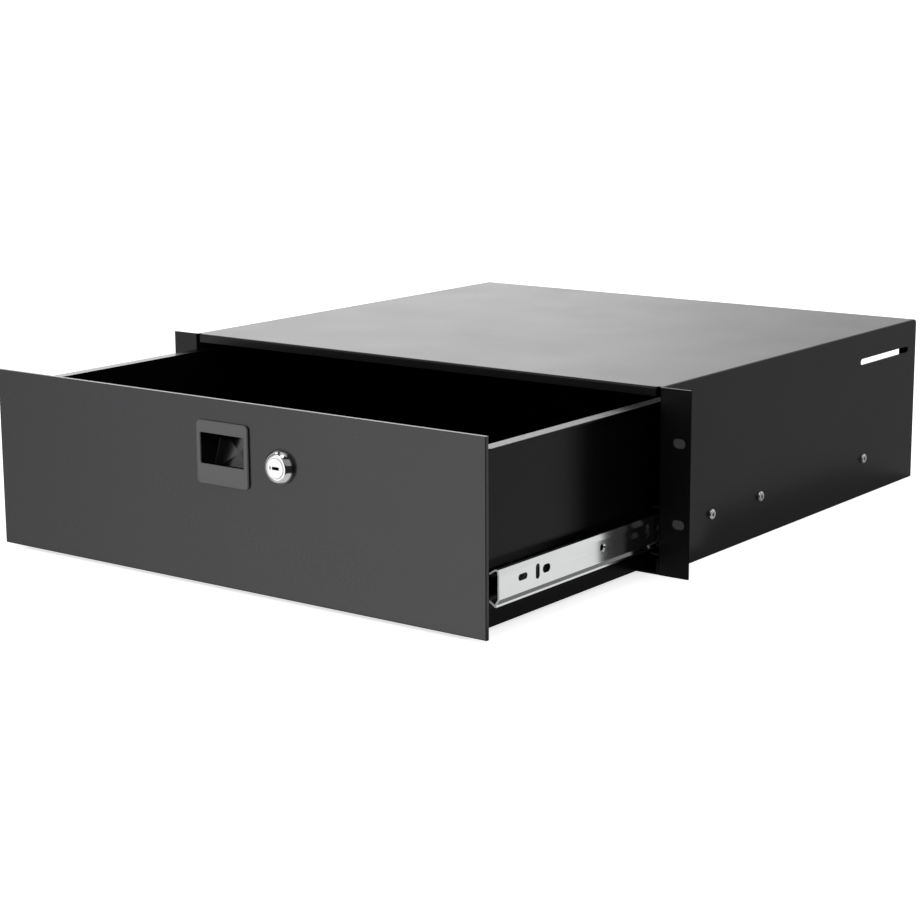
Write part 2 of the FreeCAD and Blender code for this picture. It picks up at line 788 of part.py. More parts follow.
# ---- the slides ----
def make_outer_rail(label, side):
    """Fixed rail: a channel screwed to the case wall, its edges turned in to hold the balls."""
    half, bend = S["outer_half"], S["outer_bend"]
    face = S["slide_space"]
    turn_in = face - S["outer_depth"]
    edge = turn_in - S["outer_curl"]
    corners = [
        (edge, S["outer_lean"] - half),
        (turn_in, -half),
        (face - bend, -half),
        (face, bend - half, bend, 1),
        (face, half - bend),
        (face - bend, half, bend, 1),
        (turn_in, half),
        (edge, half - S["outer_lean"]),
    ]
    section = strip(label, side, corners, S["outer_sheet"], S["outer_front"], S["outer_length"])

    def holes(sketch):
        for place in CASE_SCREWS:
            draw_circle(sketch, place, SLIDE_Z, S["screw_hole"])

    rail = cut(f"{label}_cut", section, through_side(label, side, face, S["outer_sheet"], holes))
    rail.Label = label
    return rail


def make_middle_rail(label, side):
    """Middle rail: web outwards, a stepped ridge along its lower edge, slotted for access."""
    half, web, face = S["middle_half"], S["middle_web"], S["middle_face"]
    foot = S["ridge_foot"]
    edge_height = half - S["edge_drop"]
    corners = [
        (S["edge_inner"], -edge_height),
        (S["ridge_inner"], -half),
        (S["ridge_outer"], -half),
        (S["ridge_outer"], -foot),
        (face, -S["step_top"]),
        (face, web),
        (S["crown_outer"], half),
        (S["ridge_inner"], half),
        (S["edge_inner"], edge_height),
    ]
    front = S["middle_front"]
    section = strip(label, side, corners, S["middle_sheet"], front, S["middle_length"])
    line = SLIDE_Z + S["access_height"]

    def holes(sketch):
        """The same group of openings near each end of the travel, and a round one between."""
        for place in ACCESS_GROUPS:
            start = front + place
            draw_slot(sketch, start, line, S["long_length"], S["long_width"])
            draw_slot(sketch, start + S["upright_place"], line, S["upright_length"], S["long_width"],
                      upright=True)
            draw_slot(sketch, start + S["oval_place"], line, S["oval_length"], S["oval_width"])
        draw_circle(sketch, front + S["round_place"], line, S["access_round"])

    rim = cone(f"{label}_rim", (HALF_TRAY + face) * side, front + S["round_place"], line, side)
    rail = cut(f"{label}_cut", section, through_side(label, side, face, S["middle_sheet"], holes), rim)
    rail.Label = label
    return rail


def make_inner_rail(label, side):
    """Tray rail: a shallow channel screwed to the tray, its flanges towards the middle rail."""
    half, bend, depth = S["inner_half"], S["inner_bend"], S["inner_depth"]
    corners = [
        (depth, -half),
        (bend, -half),
        (0, bend - half, bend, -1),
        (0, half - bend),
        (bend, half, bend, -1),
        (depth, half),
    ]
    section = strip(label, side, corners, -S["inner_sheet"], S["inner_front"], S["inner_length"])

    def holes(sketch):
        for place in TRAY_SCREWS:
            draw_circle(sketch, place, SLIDE_Z, S["screw_hole"])

    tool = through_side(label, side, S["inner_sheet"], S["inner_sheet"], holes)
    rail = cut(f"{label}_cut", section, tool)
    rail.Label = label
    return rail


def make_balls_and_cage(kind, name, side):
    """Two rows of balls, and the two strips that space them, on one side of one slide stage."""
    radius = S[f"{kind}_ball_radius"]
    x = (HALF_TRAY + S[f"{kind}_ball_offset"]) * side
    front = S[f"{kind}_cage_front"]
    first = front + (S["cage_length"] - S["ball_pitch"] * (BALLS_PER_ROW - 1)) / 2
    half_width, half_sheet = S["cage_width"] / 2, S["cage_sheet"] / 2
    balls = []
    strips = []
    for row in (-1, 1):
        z = SLIDE_Z + S[f"{kind}_ball_height"] * row
        windows = []
        for number in range(BALLS_PER_ROW):
            y = first + S["ball_pitch"] * number
            ball = doc.addObject("Part::Sphere", f"{name}_ball")
            bind(ball, "Radius", radius)
            place_at(ball, x, y, z)
            balls.append(ball)
            windows.append(
                cylinder(f"{name}_window", "Z", x, y, z - S["cage_sheet"], radius + S["cage_play"],
                         S["cage_sheet"] * 2)
            )
        bar = box(
            f"{name}_bar", x - half_width, x + half_width, front, front + S["cage_length"],
            z - half_sheet, z + half_sheet,
        )
        strips.append(cut(f"{name}_strip", bar, *windows))
    return group(f"{name}_balls", balls), group(f"{name}_cage", strips)


def make_rail_stop(label, side):
    """Rubber block at the back of a fixed rail, which the moving rails meet when shut."""
    face = HALF_TRAY + S["slide_space"] - S["outer_sheet"]
    x0, x1 = face - S["stop_width"], face
    if side < 0:
        x0, x1 = -x1, -x0
    front = S["stop_front"]
    block = box(
        label, x0, x1, front, front + S["stop_length"], SLIDE_Z - S["stop_half"], SLIDE_Z + S["stop_half"]
    )
    block.Label = label
    return block


# ---- screws ----
def pan_screw(name, towards, x, y, z, head_radius, head_height, length):
    """A pan-head screw whose head starts at a point and whose shank runs the other way."""
    sign = -1 if towards.startswith("-") else 1
    axis = towards[-1]
    back = axis if sign < 0 else f"-{axis}"
    head = cylinder(f"{name}_head", towards, x, y, z, head_radius, head_height)
    doc.recompute()
    rounded_head = doc.addObject("Part::Fillet", f"{name}_rounded")
    rounded_head.Base = head
    outer = as_size({"X": x, "Y": y}[axis]).number + sign * as_size(head_height).number
    for number, edge in enumerate(head.Shape.Edges, start=1):
        centre = edge.CenterOfMass
        at = centre.x if axis == "X" else centre.y
        if edge.Length > 2 * math.pi and abs(at - outer) < 1e-3:
            rounded_head.Edges = [(number, S["head_round"].number, S["head_round"].number)]
    shank = cylinder(f"{name}_shank", back, x, y, z, S["screw_radius"], length)
    half_width, half_length = S["recess_width"] / 2, S["recess_length"] / 2
    top = as_size({"X": x, "Y": y}[axis]) + as_size(head_height) * sign
    deep = top - S["recess_depth"] * sign
    low, high = (deep, top + 1) if sign > 0 else (top - 1, deep)
    arms = []
    for wide, tall in ((half_length, half_width), (half_width, half_length)):
        if axis == "X":
            arms.append(box(f"{name}_arm", low, high, y - wide, y + wide, z - tall, z + tall))
        else:
            arms.append(box(f"{name}_arm", x - wide, x + wide, low, high, z - tall, z + tall))
    return cut(f"{name}_screw", fuse(f"{name}_blank", rounded_head, shank), *arms)


def make_case_screws(label, side):
    """Screws from outside the case into a fixed rail."""
    towards = "X" if side > 0 else "-X"
    grip = S["case_sheet"] + S["outer_sheet"]
    screws = []
    for place in CASE_SCREWS:
        screws.append(
            pan_screw(
                label, towards, HALF_CASE * side, as_size(place), SLIDE_Z,
                S["case_head_radius"], S["case_head_height"], grip,
            )
        )
    return group(label, screws)


def make_tray_screws(label, side):
    """Screws from inside a tray rail into the clinch nuts of the tray."""
    towards = "X" if side > 0 else "-X"
    grip = S["inner_sheet"] + S["tray_sheet"] + S["clinch_height"]
    start = (HALF_TRAY + S["inner_sheet"]) * side
    screws = []
    for place in TRAY_SCREWS:
        screws.append(
            pan_screw(
                label, towards, start, as_size(place), SLIDE_Z,
                S["tray_head_radius"], S["tray_head_height"], grip,
            )
        )
    return group(label, screws)


def make_clinch_nuts(label, side):
    """Nuts pressed into the tray wall, standing inside the drawer."""
    inside = (HALF_TRAY - S["tray_sheet"]) * side
    towards = "-X" if side > 0 else "X"
    nuts = []
    for place in TRAY_SCREWS:
        blank = cylinder(f"{label}_blank", towards, inside, place, SLIDE_Z, S["clinch_radius"],
                         S["clinch_height"])
        bore = cylinder(f"{label}_bore", towards, inside, place, SLIDE_Z, S["screw_hole"],
                        S["clinch_height"])
        nuts.append(cut(f"{label}_nut", blank, bore))
    return group(label, nuts)


# ---- the drawer ----
def stud_places():
    """X and Z of the four weld studs behind the panel."""
    places = []
    for side in (-1, 1):
        for height in (S["stud_low"], S["stud_high"]):
            places.append((S["stud_column"] * side, up(height)))
    return places


def make_tray_pan():
    """Floor, front wall and back wall of the tray, folded from one sheet."""
    body = new_body("tray_pan")
    sheet = S["tray_sheet"]
    half = HALF_TRAY - sheet
    front, back = PANEL_BACK, TRAY_BACK
    bottom, top = up(S["tray_bottom"]), up(S["tray_end_top"])
    bend = S["tray_bend"]
    inside_bend = bend - sheet

    def trough(sketch):
        corners = [
            (front, top),
            (front, bottom + bend),
            (front + bend, bottom, bend, 1),
            (back - bend, bottom),
            (back, bottom + bend, bend, 1),
            (back, top),
            (back - sheet, top),
            (back - sheet, bottom + bend),
            (back - bend, bottom + sheet, inside_bend, -1),
            (front + bend, bottom + sheet),
            (front + sheet, bottom + bend, inside_bend, -1),
            (front + sheet, top),
        ]
        draw_path(sketch, corners, True)

    pad(body, "X", -half, half, trough)

    def front_holes(sketch):
        half_cup = S["mouth_width"] / 2 + S["cup_wall"] + S["cup_play"] * 2
        low = up(S["cup_bottom"]) - S["cup_wall"] - S["cup_play"] * 2
        high = up(S["mouth_top"]) + S["cup_wall"] + S["cup_play"] * 2
        draw_path(sketch, rectangle(S["pull_x"] - half_cup, S["pull_x"] + half_cup, low, high), True)
        draw_circle(sketch, S["lock_x"], up(S["lock_height"]), S["barrel_radius"] + S["barrel_play"] * 2)
        for x, z in stud_places():
            draw_circle(sketch, x, z, S["stud_hole"])

    pocket(body, "Y", front - 1, front + sheet + 1, front_holes)
    return body


def make_tray_side(label, side):
    """Side wall of the tray: its foot turned in over the pan's floor, its top turned out."""
    body = new_body(label)
    sheet = S["tray_sheet"]
    front, back = PANEL_BACK, TRAY_BACK
    bottom, top = up(S["tray_bottom"]), up(S["tray_top"])
    outer, inner = HALF_TRAY * side, (HALF_TRAY - sheet) * side
    foot = (HALF_TRAY - S["weld_flange"]) * side
    foot_front, foot_back = front + S["tray_bend"] + sheet, back - S["tray_bend"] - sheet

    pad(body, "X", *sorted((inner, outer), key=lambda size: size.number), lambda sketch: draw_path(
        sketch, rectangle(front, back, bottom, top), True))
    pad(body, "Z", bottom + sheet, bottom + sheet * 2, lambda sketch: draw_path(
        sketch, rectangle(foot, inner, foot_front, foot_back), True))

    def flange(sketch):
        edge = (HALF_TRAY + S["tray_flange"]) * side
        start, finish = front + S["flange_start"], back - S["flange_start"]
        mitre = S["tray_flange"] + sheet
        corners = [(inner, start), (edge, start + mitre), (edge, finish - mitre), (inner, finish)]
        draw_path(sketch, corners, True)

    pad(body, "Z", top - sheet, top, flange)

    def rail_holes(sketch):
        for place in TRAY_SCREWS:
            draw_circle(sketch, place, SLIDE_Z, S["screw_hole"])

    low, high = sorted((inner - 1 * side, outer + 1 * side), key=lambda size: size.number)
    pocket(body, "X", low, high, rail_holes)
    return body


def make_front_panel():
    """Flat drawer front with the cut-outs for pull and lock."""
    body = new_body("front_panel")
    half = S["panel_width"] / 2
    low = up(S["panel_bottom"])
    high = low + S["panel_height"]

    pad(body, "Y", PANEL_FRONT, PANEL_BACK, lambda sketch: draw_path(
        sketch, rectangle(-half, half, low, high), True))
    round_edges(body, S["panel_edge"], lambda at, way, length: near(at.y, PANEL_FRONT))

    def cutouts(sketch):
        half_cup = S["mouth_width"] / 2 + S["cup_wall"] + S["cup_play"]
        cup_low = up(S["cup_bottom"]) - S["cup_wall"] - S["cup_play"]
        cup_high = up(S["mouth_top"]) + S["cup_wall"] + S["cup_play"]
        draw_path(
            sketch, rectangle(S["pull_x"] - half_cup, S["pull_x"] + half_cup, cup_low, cup_high), True
        )
        radius = S["barrel_radius"] + S["barrel_play"]
        flat = S["barrel_flats"] / 2 + S["barrel_play"]
        x, z = S["lock_x"], up(S["lock_height"])
        reach = math.sqrt(radius.number ** 2 - flat.number ** 2)
        corners = [
            (x - reach, z - flat, radius, 1),
            (x + reach, z - flat),
            (x + reach, z + flat, radius, 1),
            (x - reach, z + flat),
        ]
        draw_path(sketch, corners, True)

    pocket(body, "Y", PANEL_FRONT - 1, PANEL_BACK + 1, cutouts)
    return body


def make_panel_studs():
    """Threaded studs welded to the back of the panel."""
    studs = []
    for x, z in stud_places():
        studs.append(cylinder("stud", "Y", x, PANEL_BACK, z, S["stud_radius"], S["stud_length"]))
    return group("panel_studs", studs)


def make_panel_nuts():
    """Nuts that hold the tray to those studs."""
    start = PANEL_BACK + S["tray_sheet"]
    stud_bore = S["stud_radius"] + S["fit_play"]
    nuts = []
    for x, z in stud_places():
        blank = hexagon("stud_nut_blank", "Y", x, start, z, S["stud_nut_flats"], S["stud_nut_height"])
        bore = cylinder("stud_nut_bore", "Y", x, start, z, stud_bore, S["stud_nut_height"])
        nuts.append(cut("stud_nut", blank, bore))
    return group("panel_nuts", nuts)


# ---- the finger pull ----
def make_finger_pull():
    """Moulded pull: a rim in front of the panel and a cup behind it that dips below the opening.

    The cup's back leans, so that the cup is deepest at the top.
    """
    body = new_body("finger_pull")
    x = S["pull_x"]
    half_rim, half_mouth = S["bezel_width"] / 2, S["mouth_width"] / 2
    rim_front = PANEL_FRONT - S["bezel_proud"]
    wall = S["cup_wall"]
    low, high = up(S["cup_bottom"]), up(S["mouth_top"])
    deep, shallow = PANEL_FRONT + S["cup_depth"], PANEL_FRONT + S["cup_shallow"]

    def side_view(play):
        """Corners of the cup seen from the side, larger all round by play."""
        return [
            (PANEL_FRONT, low - play),
            (shallow + play, low - play),
            (deep + play, high + play),
            (PANEL_FRONT, high + play),
        ]

    pad(body, "Y", rim_front, PANEL_FRONT, lambda sketch: draw_rounded(
        sketch, x - half_rim, x + half_rim, up(S["bezel_bottom"]), up(S["bezel_top"]), S["bezel_corner"]))
    round_edges(body, S["bezel_round"], lambda at, way, length: near(at.y, rim_front))
    pad(body, "X", x - half_mouth - wall, x + half_mouth + wall, lambda sketch: draw_path(
        sketch, side_view(wall), True))
    pocket(body, "X", x - half_mouth, x + half_mouth, lambda sketch: draw_path(
        sketch, side_view(0), True))
    pocket(body, "Y", rim_front - 1, PANEL_FRONT + wall, lambda sketch: draw_rounded(
        sketch, x - half_mouth, x + half_mouth, up(S["mouth_bottom"]), high, S["mouth_corner"]))
    return body


def make_pull_clips():
    """Two bent spring clips that press the pull's cup to the tray's front wall."""
    wall_back = PANEL_BACK + S["tray_sheet"]
    sheet = S["clip_sheet"]
    middle = (up(S["cup_bottom"]) + up(S["mouth_top"])) / 2
    low, high = middle - S["clip_height"] / 2, middle + S["clip_height"] / 2
    cup_back = PANEL_FRONT + S["cup_shallow"]
    clips = []
    for side in (-1, 1):
        cup_side = S["pull_x"] + (S["mouth_width"] / 2 + S["cup_wall"]) * side
        legs = []
        outlines = ((sheet, cup_back), (S["clip_reach"], wall_back + sheet))
        for reach, finish in outlines:
            far = cup_side + reach * side
            x0, x1 = (cup_side, far) if side > 0 else (far, cup_side)
            legs.append(box("clip_leg", x0, x1, wall_back, finish, low, high))
        clips.append(fuse("clip", *legs))
    return group("pull_clips", clips)


# ---- the lock ----
def lock_body_at_axis(label):
    """A body whose own origin is on the lock's axis, in the plane Y = 0."""
    body = new_body(label)
    bind(body, "Placement.Base.x", S["lock_x"])
    bind(body, "Placement.Base.z", up(S["lock_height"]))
    return body


def revolve(body, corners):
    """Turns a profile of (radius, Y) once round the body's own Y axis."""
    sketch = new_sketch(body, "Z", 0)
    draw_path(sketch, corners, True)
    feature = body.newObject("PartDesign::Revolution", f"{body.Name}_turn")
    feature.Profile = sketch
    feature.ReferenceAxis = (sketch, ["V_Axis"])
    feature.Angle = 360.0
    body.Tip = feature
    doc.recompute()


def make_lock_housing():
    """Chromed head and barrel of the cam lock: a short cylinder with a wide bevel and a flat face."""
    body = lock_body_at_axis("lock_housing")
    bore = S["plug_radius"] + S["plug_play"]
    face = PANEL_FRONT - S["head_proud"]
    barrel_back = PANEL_FRONT + S["barrel_back"]
    corners = [
        (bore, face),
        (bore, barrel_back),
        (S["barrel_radius"], barrel_back),
        (S["barrel_radius"], PANEL_FRONT),
        (S["head_radius"], PANEL_FRONT),
        (S["head_radius"], PANEL_FRONT - S["head_side"]),
        (S["face_radius"] + S["face_round"], face + S["face_round"]),
        (S["face_radius"], face, S["face_bend"], -1),
    ]
    revolve(body, corners)
    flat = S["barrel_flats"] / 2
    far = S["head_radius"]

    def flats(sketch):
        for side in (-1, 1):
            draw_path(sketch, rectangle(-far, far, flat * side, far * side), True)

    pocket(body, "Y", PANEL_FRONT, barrel_back + 1, flats)
    return body


def make_lock_plug():
    """Plug that the key turns, with its keyway in front and a square tail behind."""
    body = lock_body_at_axis("lock_plug")
    face = PANEL_FRONT - S["head_proud"]
    back = PANEL_FRONT + S["barrel_back"]
    pad(body, "Y", face, back, lambda sketch: draw_circle(sketch, 0, 0, S["plug_radius"]))
    half_tail = S["cam_tail"] / 2
    pad(body, "Y", back, back + S["cam_sheet"], lambda sketch: draw_path(
        sketch, rectangle(-half_tail, half_tail, -half_tail, half_tail), True))
    half_key = S["key_width"] / 2

    def keyway(sketch):
        key_end = S["key_reach"]
        key_start = key_end - S["key_length"]
        tick_end = key_start - S["key_tick_gap"]
        draw_path(sketch, rectangle(key_start, key_end, -half_key, half_key), True)
        draw_path(sketch, rectangle(tick_end - S["key_tick"], tick_end, -half_key, half_key), True)

    pocket(body, "Y", face - 1, face + S["key_depth"], keyway)
    return body


def make_lock_nut():
    """Nut that clamps the lock to panel and tray."""
    start = PANEL_BACK + S["tray_sheet"]
    x, z = S["lock_x"], up(S["lock_height"])
    blank = hexagon("lock_nut_blank", "Y", x, start, z, S["lock_nut_flats"], S["lock_nut_height"])
    bore_radius = S["barrel_radius"] + S["fit_play"]
    bore = cylinder("lock_nut_bore", "Y", x, start, z, bore_radius, S["lock_nut_height"])
    nut = cut("lock_nut_cut", blank, bore)
    nut.Label = "lock_nut"
    return nut


def make_lock_cam():
    """Cranked cam: sideways when unlocked, and up behind the case's front lip when locked."""
    body = lock_body_at_axis("lock_cam")
    hub_front = PANEL_FRONT + S["barrel_back"]
    hub_back = hub_front + S["cam_sheet"]
    arm_front = hub_front - S["cam_crank"]
    half_width = S["cam_width"] / 2
    step = S["cam_step"]
    sheet = S["cam_sheet"]

    pad(body, "Y", hub_front, hub_back, lambda sketch: draw_circle(sketch, 0, 0, S["cam_hub"]))
    pad(body, "Y", hub_front, hub_back, lambda sketch: draw_path(
        sketch, rectangle(0, step + sheet, -half_width, half_width), True))
    pad(body, "Y", arm_front, hub_front, lambda sketch: draw_path(
        sketch, rectangle(step, step + sheet, -half_width, half_width), True))
    pad(body, "Y", arm_front, arm_front + sheet, lambda sketch: draw_path(
        sketch, rectangle(step, S["cam_reach"], -half_width, half_width), True))
    half_tail = S["cam_tail"] / 2 + S["fit_play"]
    pocket(body, "Y", hub_front - 1, hub_back + 1, lambda sketch: draw_path(
        sketch, rectangle(-half_tail, half_tail, -half_tail, half_tail), True))
    return body


def make_cam_screw():
    """Screw that holds the cam on the plug's tail."""
    start = PANEL_FRONT + S["barrel_back"] + S["cam_sheet"]
    end = start + S["cam_screw_head"]
    x, z, far = S["lock_x"], up(S["lock_height"]), S["cam_screw_radius"]
    head = cylinder("cam_screw_head", "Y", x, start, z, far, S["cam_screw_head"])
    slot_half = S["cam_slot_width"] / 2
    slot = box(
        "cam_screw_slot", x - far, x + far, end - S["cam_slot_depth"], end + 1,
        z - slot_half, z + slot_half,
    )
    screw = cut("cam_screw_cut", head, slot)
    screw.Label = "cam_screw"
    return screw


# ---- everything ----
def make_all():
    """Builds each sub-part and gives them by node name."""
    made = [make_case_shell(), make_base_plate()]
    for word, side in SIDES:
        made.append(make_outer_rail(f"{word}_outer_rail", side))
        made.append(make_middle_rail(f"{word}_middle_rail", side))
        made.append(make_inner_rail(f"{word}_inner_rail", side))
        for kind in ("outer", "inner"):
            made.extend(make_balls_and_cage(kind, f"{word}_{kind}", side))
        made.append(make_rail_stop(f"{word}_rail_stop", side))
        made.append(make_case_screws(f"{word}_case_screws", side))
        made.append(make_tray_screws(f"{word}_tray_screws", side))
        made.append(make_clinch_nuts(f"{word}_clinch_nuts", side))
        made.append(make_tray_side(f"{word}_tray_side", side))
    made += [make_tray_pan(), make_front_panel(), make_panel_studs(), make_panel_nuts()]
    made += [make_finger_pull(), make_pull_clips()]
    made += [make_lock_housing(), make_lock_plug(), make_lock_nut(), make_lock_cam(), make_cam_screw()]
    return {part.Label: part for part in made}


def check(parts):
    """Stops if any object failed or any sub-part has no sound shape."""
    for thing in doc.Objects:
        if "Invalid" in thing.State or "Error" in thing.State:
            raise RuntimeError(f"{thing.Name} failed: {thing.State}")
    for name, part in parts.items():
        if part.Shape.isNull() or not part.Shape.isValid() or not part.Shape.Solids:
            raise RuntimeError(f"{name} has no sound shape")


def write(parts):
    os.makedirs("parts", exist_ok=True)
    for name, part in parts.items():
        part.Shape.exportStep(f"parts/{name}.step")


sub_parts = make_all()
doc.recompute()
check(sub_parts)
write(sub_parts)
print(f"{len(sub_parts)} sub-parts")
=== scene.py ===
"""Looks of a sliding rack drawer: finishes for the built model, modelled pieces, studio and camera."""

import json
import math

import bmesh
import bpy
import numpy as np
from bpy.props import FloatProperty, FloatVectorProperty, PointerProperty
from mathutils import Matrix, Vector


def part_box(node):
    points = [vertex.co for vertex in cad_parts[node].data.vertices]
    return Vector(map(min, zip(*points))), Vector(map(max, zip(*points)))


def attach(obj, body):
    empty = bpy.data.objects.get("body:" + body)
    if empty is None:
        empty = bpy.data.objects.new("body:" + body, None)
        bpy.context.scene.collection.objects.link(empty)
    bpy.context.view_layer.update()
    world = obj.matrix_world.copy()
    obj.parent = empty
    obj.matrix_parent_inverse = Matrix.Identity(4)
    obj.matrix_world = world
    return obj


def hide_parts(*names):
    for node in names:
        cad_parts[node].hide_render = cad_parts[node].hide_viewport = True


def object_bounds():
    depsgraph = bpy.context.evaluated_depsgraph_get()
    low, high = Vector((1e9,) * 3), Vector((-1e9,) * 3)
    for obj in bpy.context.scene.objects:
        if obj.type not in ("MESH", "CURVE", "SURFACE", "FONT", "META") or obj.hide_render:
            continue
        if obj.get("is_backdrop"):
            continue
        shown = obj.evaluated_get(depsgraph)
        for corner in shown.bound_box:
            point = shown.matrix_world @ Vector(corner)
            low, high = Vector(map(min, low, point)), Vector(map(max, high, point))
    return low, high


bl_info = {
    "name": "Rack Drawer Looks",
    "version": (1, 0, 0),
    "blender": (4, 5, 0),
    "location": "3D View > Sidebar > Rack Drawer",
    "description": "Finishes, modelled pieces and a studio for a sliding rack drawer",
    "category": "Object",
}

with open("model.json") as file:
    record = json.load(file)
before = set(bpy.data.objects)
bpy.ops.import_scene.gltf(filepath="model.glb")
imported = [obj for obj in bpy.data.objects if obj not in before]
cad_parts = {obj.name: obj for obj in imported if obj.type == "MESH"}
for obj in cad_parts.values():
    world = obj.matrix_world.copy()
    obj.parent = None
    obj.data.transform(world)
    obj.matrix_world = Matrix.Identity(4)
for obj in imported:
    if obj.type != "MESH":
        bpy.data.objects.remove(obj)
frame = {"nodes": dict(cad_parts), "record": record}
cad_low, cad_high = (Vector(corner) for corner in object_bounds())
mm = 0.001


# ---- settings ----
class PaintSettings(bpy.types.PropertyGroup):
    """Colours and texture of the painted steel."""

    case_colour: FloatVectorProperty(
        name="Case", description="Powder coat of the case", subtype="COLOR",
        default=(0.003, 0.003, 0.0032), min=0.0, max=1.0,
    )
    tray_colour: FloatVectorProperty(
        name="Tray", description="Powder coat of the tray", subtype="COLOR",
        default=(0.0015, 0.0015, 0.0016), min=0.0, max=1.0,
    )
    panel_colour: FloatVectorProperty(
        name="Panel", description="Powder coat of the drawer front", subtype="COLOR",
        default=(0.0095, 0.0097, 0.0118), min=0.0, max=1.0,
    )
    grain_size: FloatProperty(
        name="Grain", description="Size of the powder coat's grain", default=0.9 * mm,
        min=0.1 * mm, max=5 * mm, unit="LENGTH",
    )
    pull_colour: FloatVectorProperty(
        name="Pull", description="Moulded plastic of the finger pull", subtype="COLOR",
        default=(0.066, 0.066, 0.069), min=0.0, max=1.0,
    )


class PullSettings(bpy.types.PropertyGroup):
    """Sizes of the moulded finger pull, inside the box of the built one."""

    rim_proud: FloatProperty(
        name="Rim", description="Rim in front of the panel", default=2.0 * mm, min=0.5 * mm,
        max=6 * mm, unit="LENGTH",
    )
    rim_corner: FloatProperty(
        name="Rim corners", description="Corner radius of the rim", default=3.5 * mm, min=1 * mm,
        max=10 * mm, unit="LENGTH",
    )
    rim_edge: FloatProperty(
        name="Rim edge", description="Rounding of the rim's front edge", default=1.1 * mm,
        min=0.2 * mm, max=1.9 * mm, unit="LENGTH",
    )
    side_margin: FloatProperty(
        name="Side margin", description="Rim to the opening, at the sides", default=3.75 * mm,
        min=1 * mm, max=15 * mm, unit="LENGTH",
    )
    top_margin: FloatProperty(
        name="Top margin", description="Rim to the opening, at the top", default=8.5 * mm,
        min=1 * mm, max=20 * mm, unit="LENGTH",
    )
    bottom_margin: FloatProperty(
        name="Bottom margin", description="Rim to the opening, at the bottom", default=14.0 * mm,
        min=1 * mm, max=25 * mm, unit="LENGTH",
    )
    cup_drop: FloatProperty(
        name="Cup drop", description="Cup's floor below the opening", default=8.5 * mm,
        min=0.0, max=12 * mm, unit="LENGTH",
    )
    cup_wall: FloatProperty(
        name="Cup wall", description="Wall of the cup", default=1.5 * mm, min=0.8 * mm,
        max=3 * mm, unit="LENGTH",
    )
    cup_depth: FloatProperty(
        name="Cup depth", description="Inside depth of the cup at its top, from the panel",
        default=21.0 * mm, min=8 * mm, max=40 * mm, unit="LENGTH",
    )
    cup_shallow: FloatProperty(
        name="Cup depth below", description="Inside depth of the cup at its floor, from the panel",
        default=10.0 * mm, min=4 * mm, max=40 * mm, unit="LENGTH",
    )
    cup_corner: FloatProperty(
        name="Cup corners", description="Corner radius of the cup's walls and of its back",
        default=1.2 * mm, min=0.2 * mm, max=4 * mm, unit="LENGTH",
    )
    mouth_corner: FloatProperty(
        name="Mouth corners", description="Corner radius of the opening", default=1.0 * mm,
        min=0.2 * mm, max=4 * mm, unit="LENGTH",
    )
    lip: FloatProperty(
        name="Lip", description="Rounding of the rim's inner edge", default=0.45 * mm,
        min=0.1 * mm, max=1.5 * mm, unit="LENGTH",
    )


class LockSettings(bpy.types.PropertyGroup):
    """Sizes of the cam lock's chromed housing."""

    head_side: FloatProperty(
        name="Head side", description="Straight side of the head", default=2.6 * mm,
        min=0.5 * mm, max=6 * mm, unit="LENGTH",
    )
    face_radius: FloatProperty(
        name="Face", description="Radius of the head's flat face", default=9.1 * mm,
        min=5 * mm, max=15 * mm, unit="LENGTH",
    )
    edge: FloatProperty(
        name="Edges", description="Rounding of the head's edges", default=1.5 * mm,
        min=0.05 * mm, max=1.6 * mm, unit="LENGTH",
    )
    head_proud: FloatProperty(
        name="Head proud", description="Face in front of the panel", default=6.0 * mm,
        min=2 * mm, max=12 * mm, unit="LENGTH",
    )
    bore: FloatProperty(
        name="Bore", description="Radius of the bore that the plug turns in", default=6.85 * mm,
        min=3 * mm, max=12 * mm, unit="LENGTH",
    )
    barrel: FloatProperty(
        name="Barrel", description="Radius of the threaded barrel", default=9.0 * mm,
        min=4 * mm, max=12 * mm, unit="LENGTH",
    )
    flats: FloatProperty(
        name="Flats", description="Across the barrel's two flats", default=16.0 * mm,
        min=6 * mm, max=24 * mm, unit="LENGTH",
    )
    bore_edge: FloatProperty(
        name="Bore edge", description="Rounding of the bore's back edge", default=0.2 * mm,
        min=0.0, max=1 * mm, unit="LENGTH",
    )
    barrel_edge: FloatProperty(
        name="Barrel edge", description="Rounding of the barrel's back edge", default=0.4 * mm,
        min=0.0, max=1 * mm, unit="LENGTH",
    )
    seat_edge: FloatProperty(
        name="Seat edge", description="Rounding of the head where it meets the panel",
        default=0.15 * mm, min=0.0, max=1 * mm, unit="LENGTH",
    )
    face_edge: FloatProperty(
        name="Face edge", description="Rounding of the face where the plug sits in it",
        default=0.3 * mm, min=0.0, max=1 * mm, unit="LENGTH",
    )


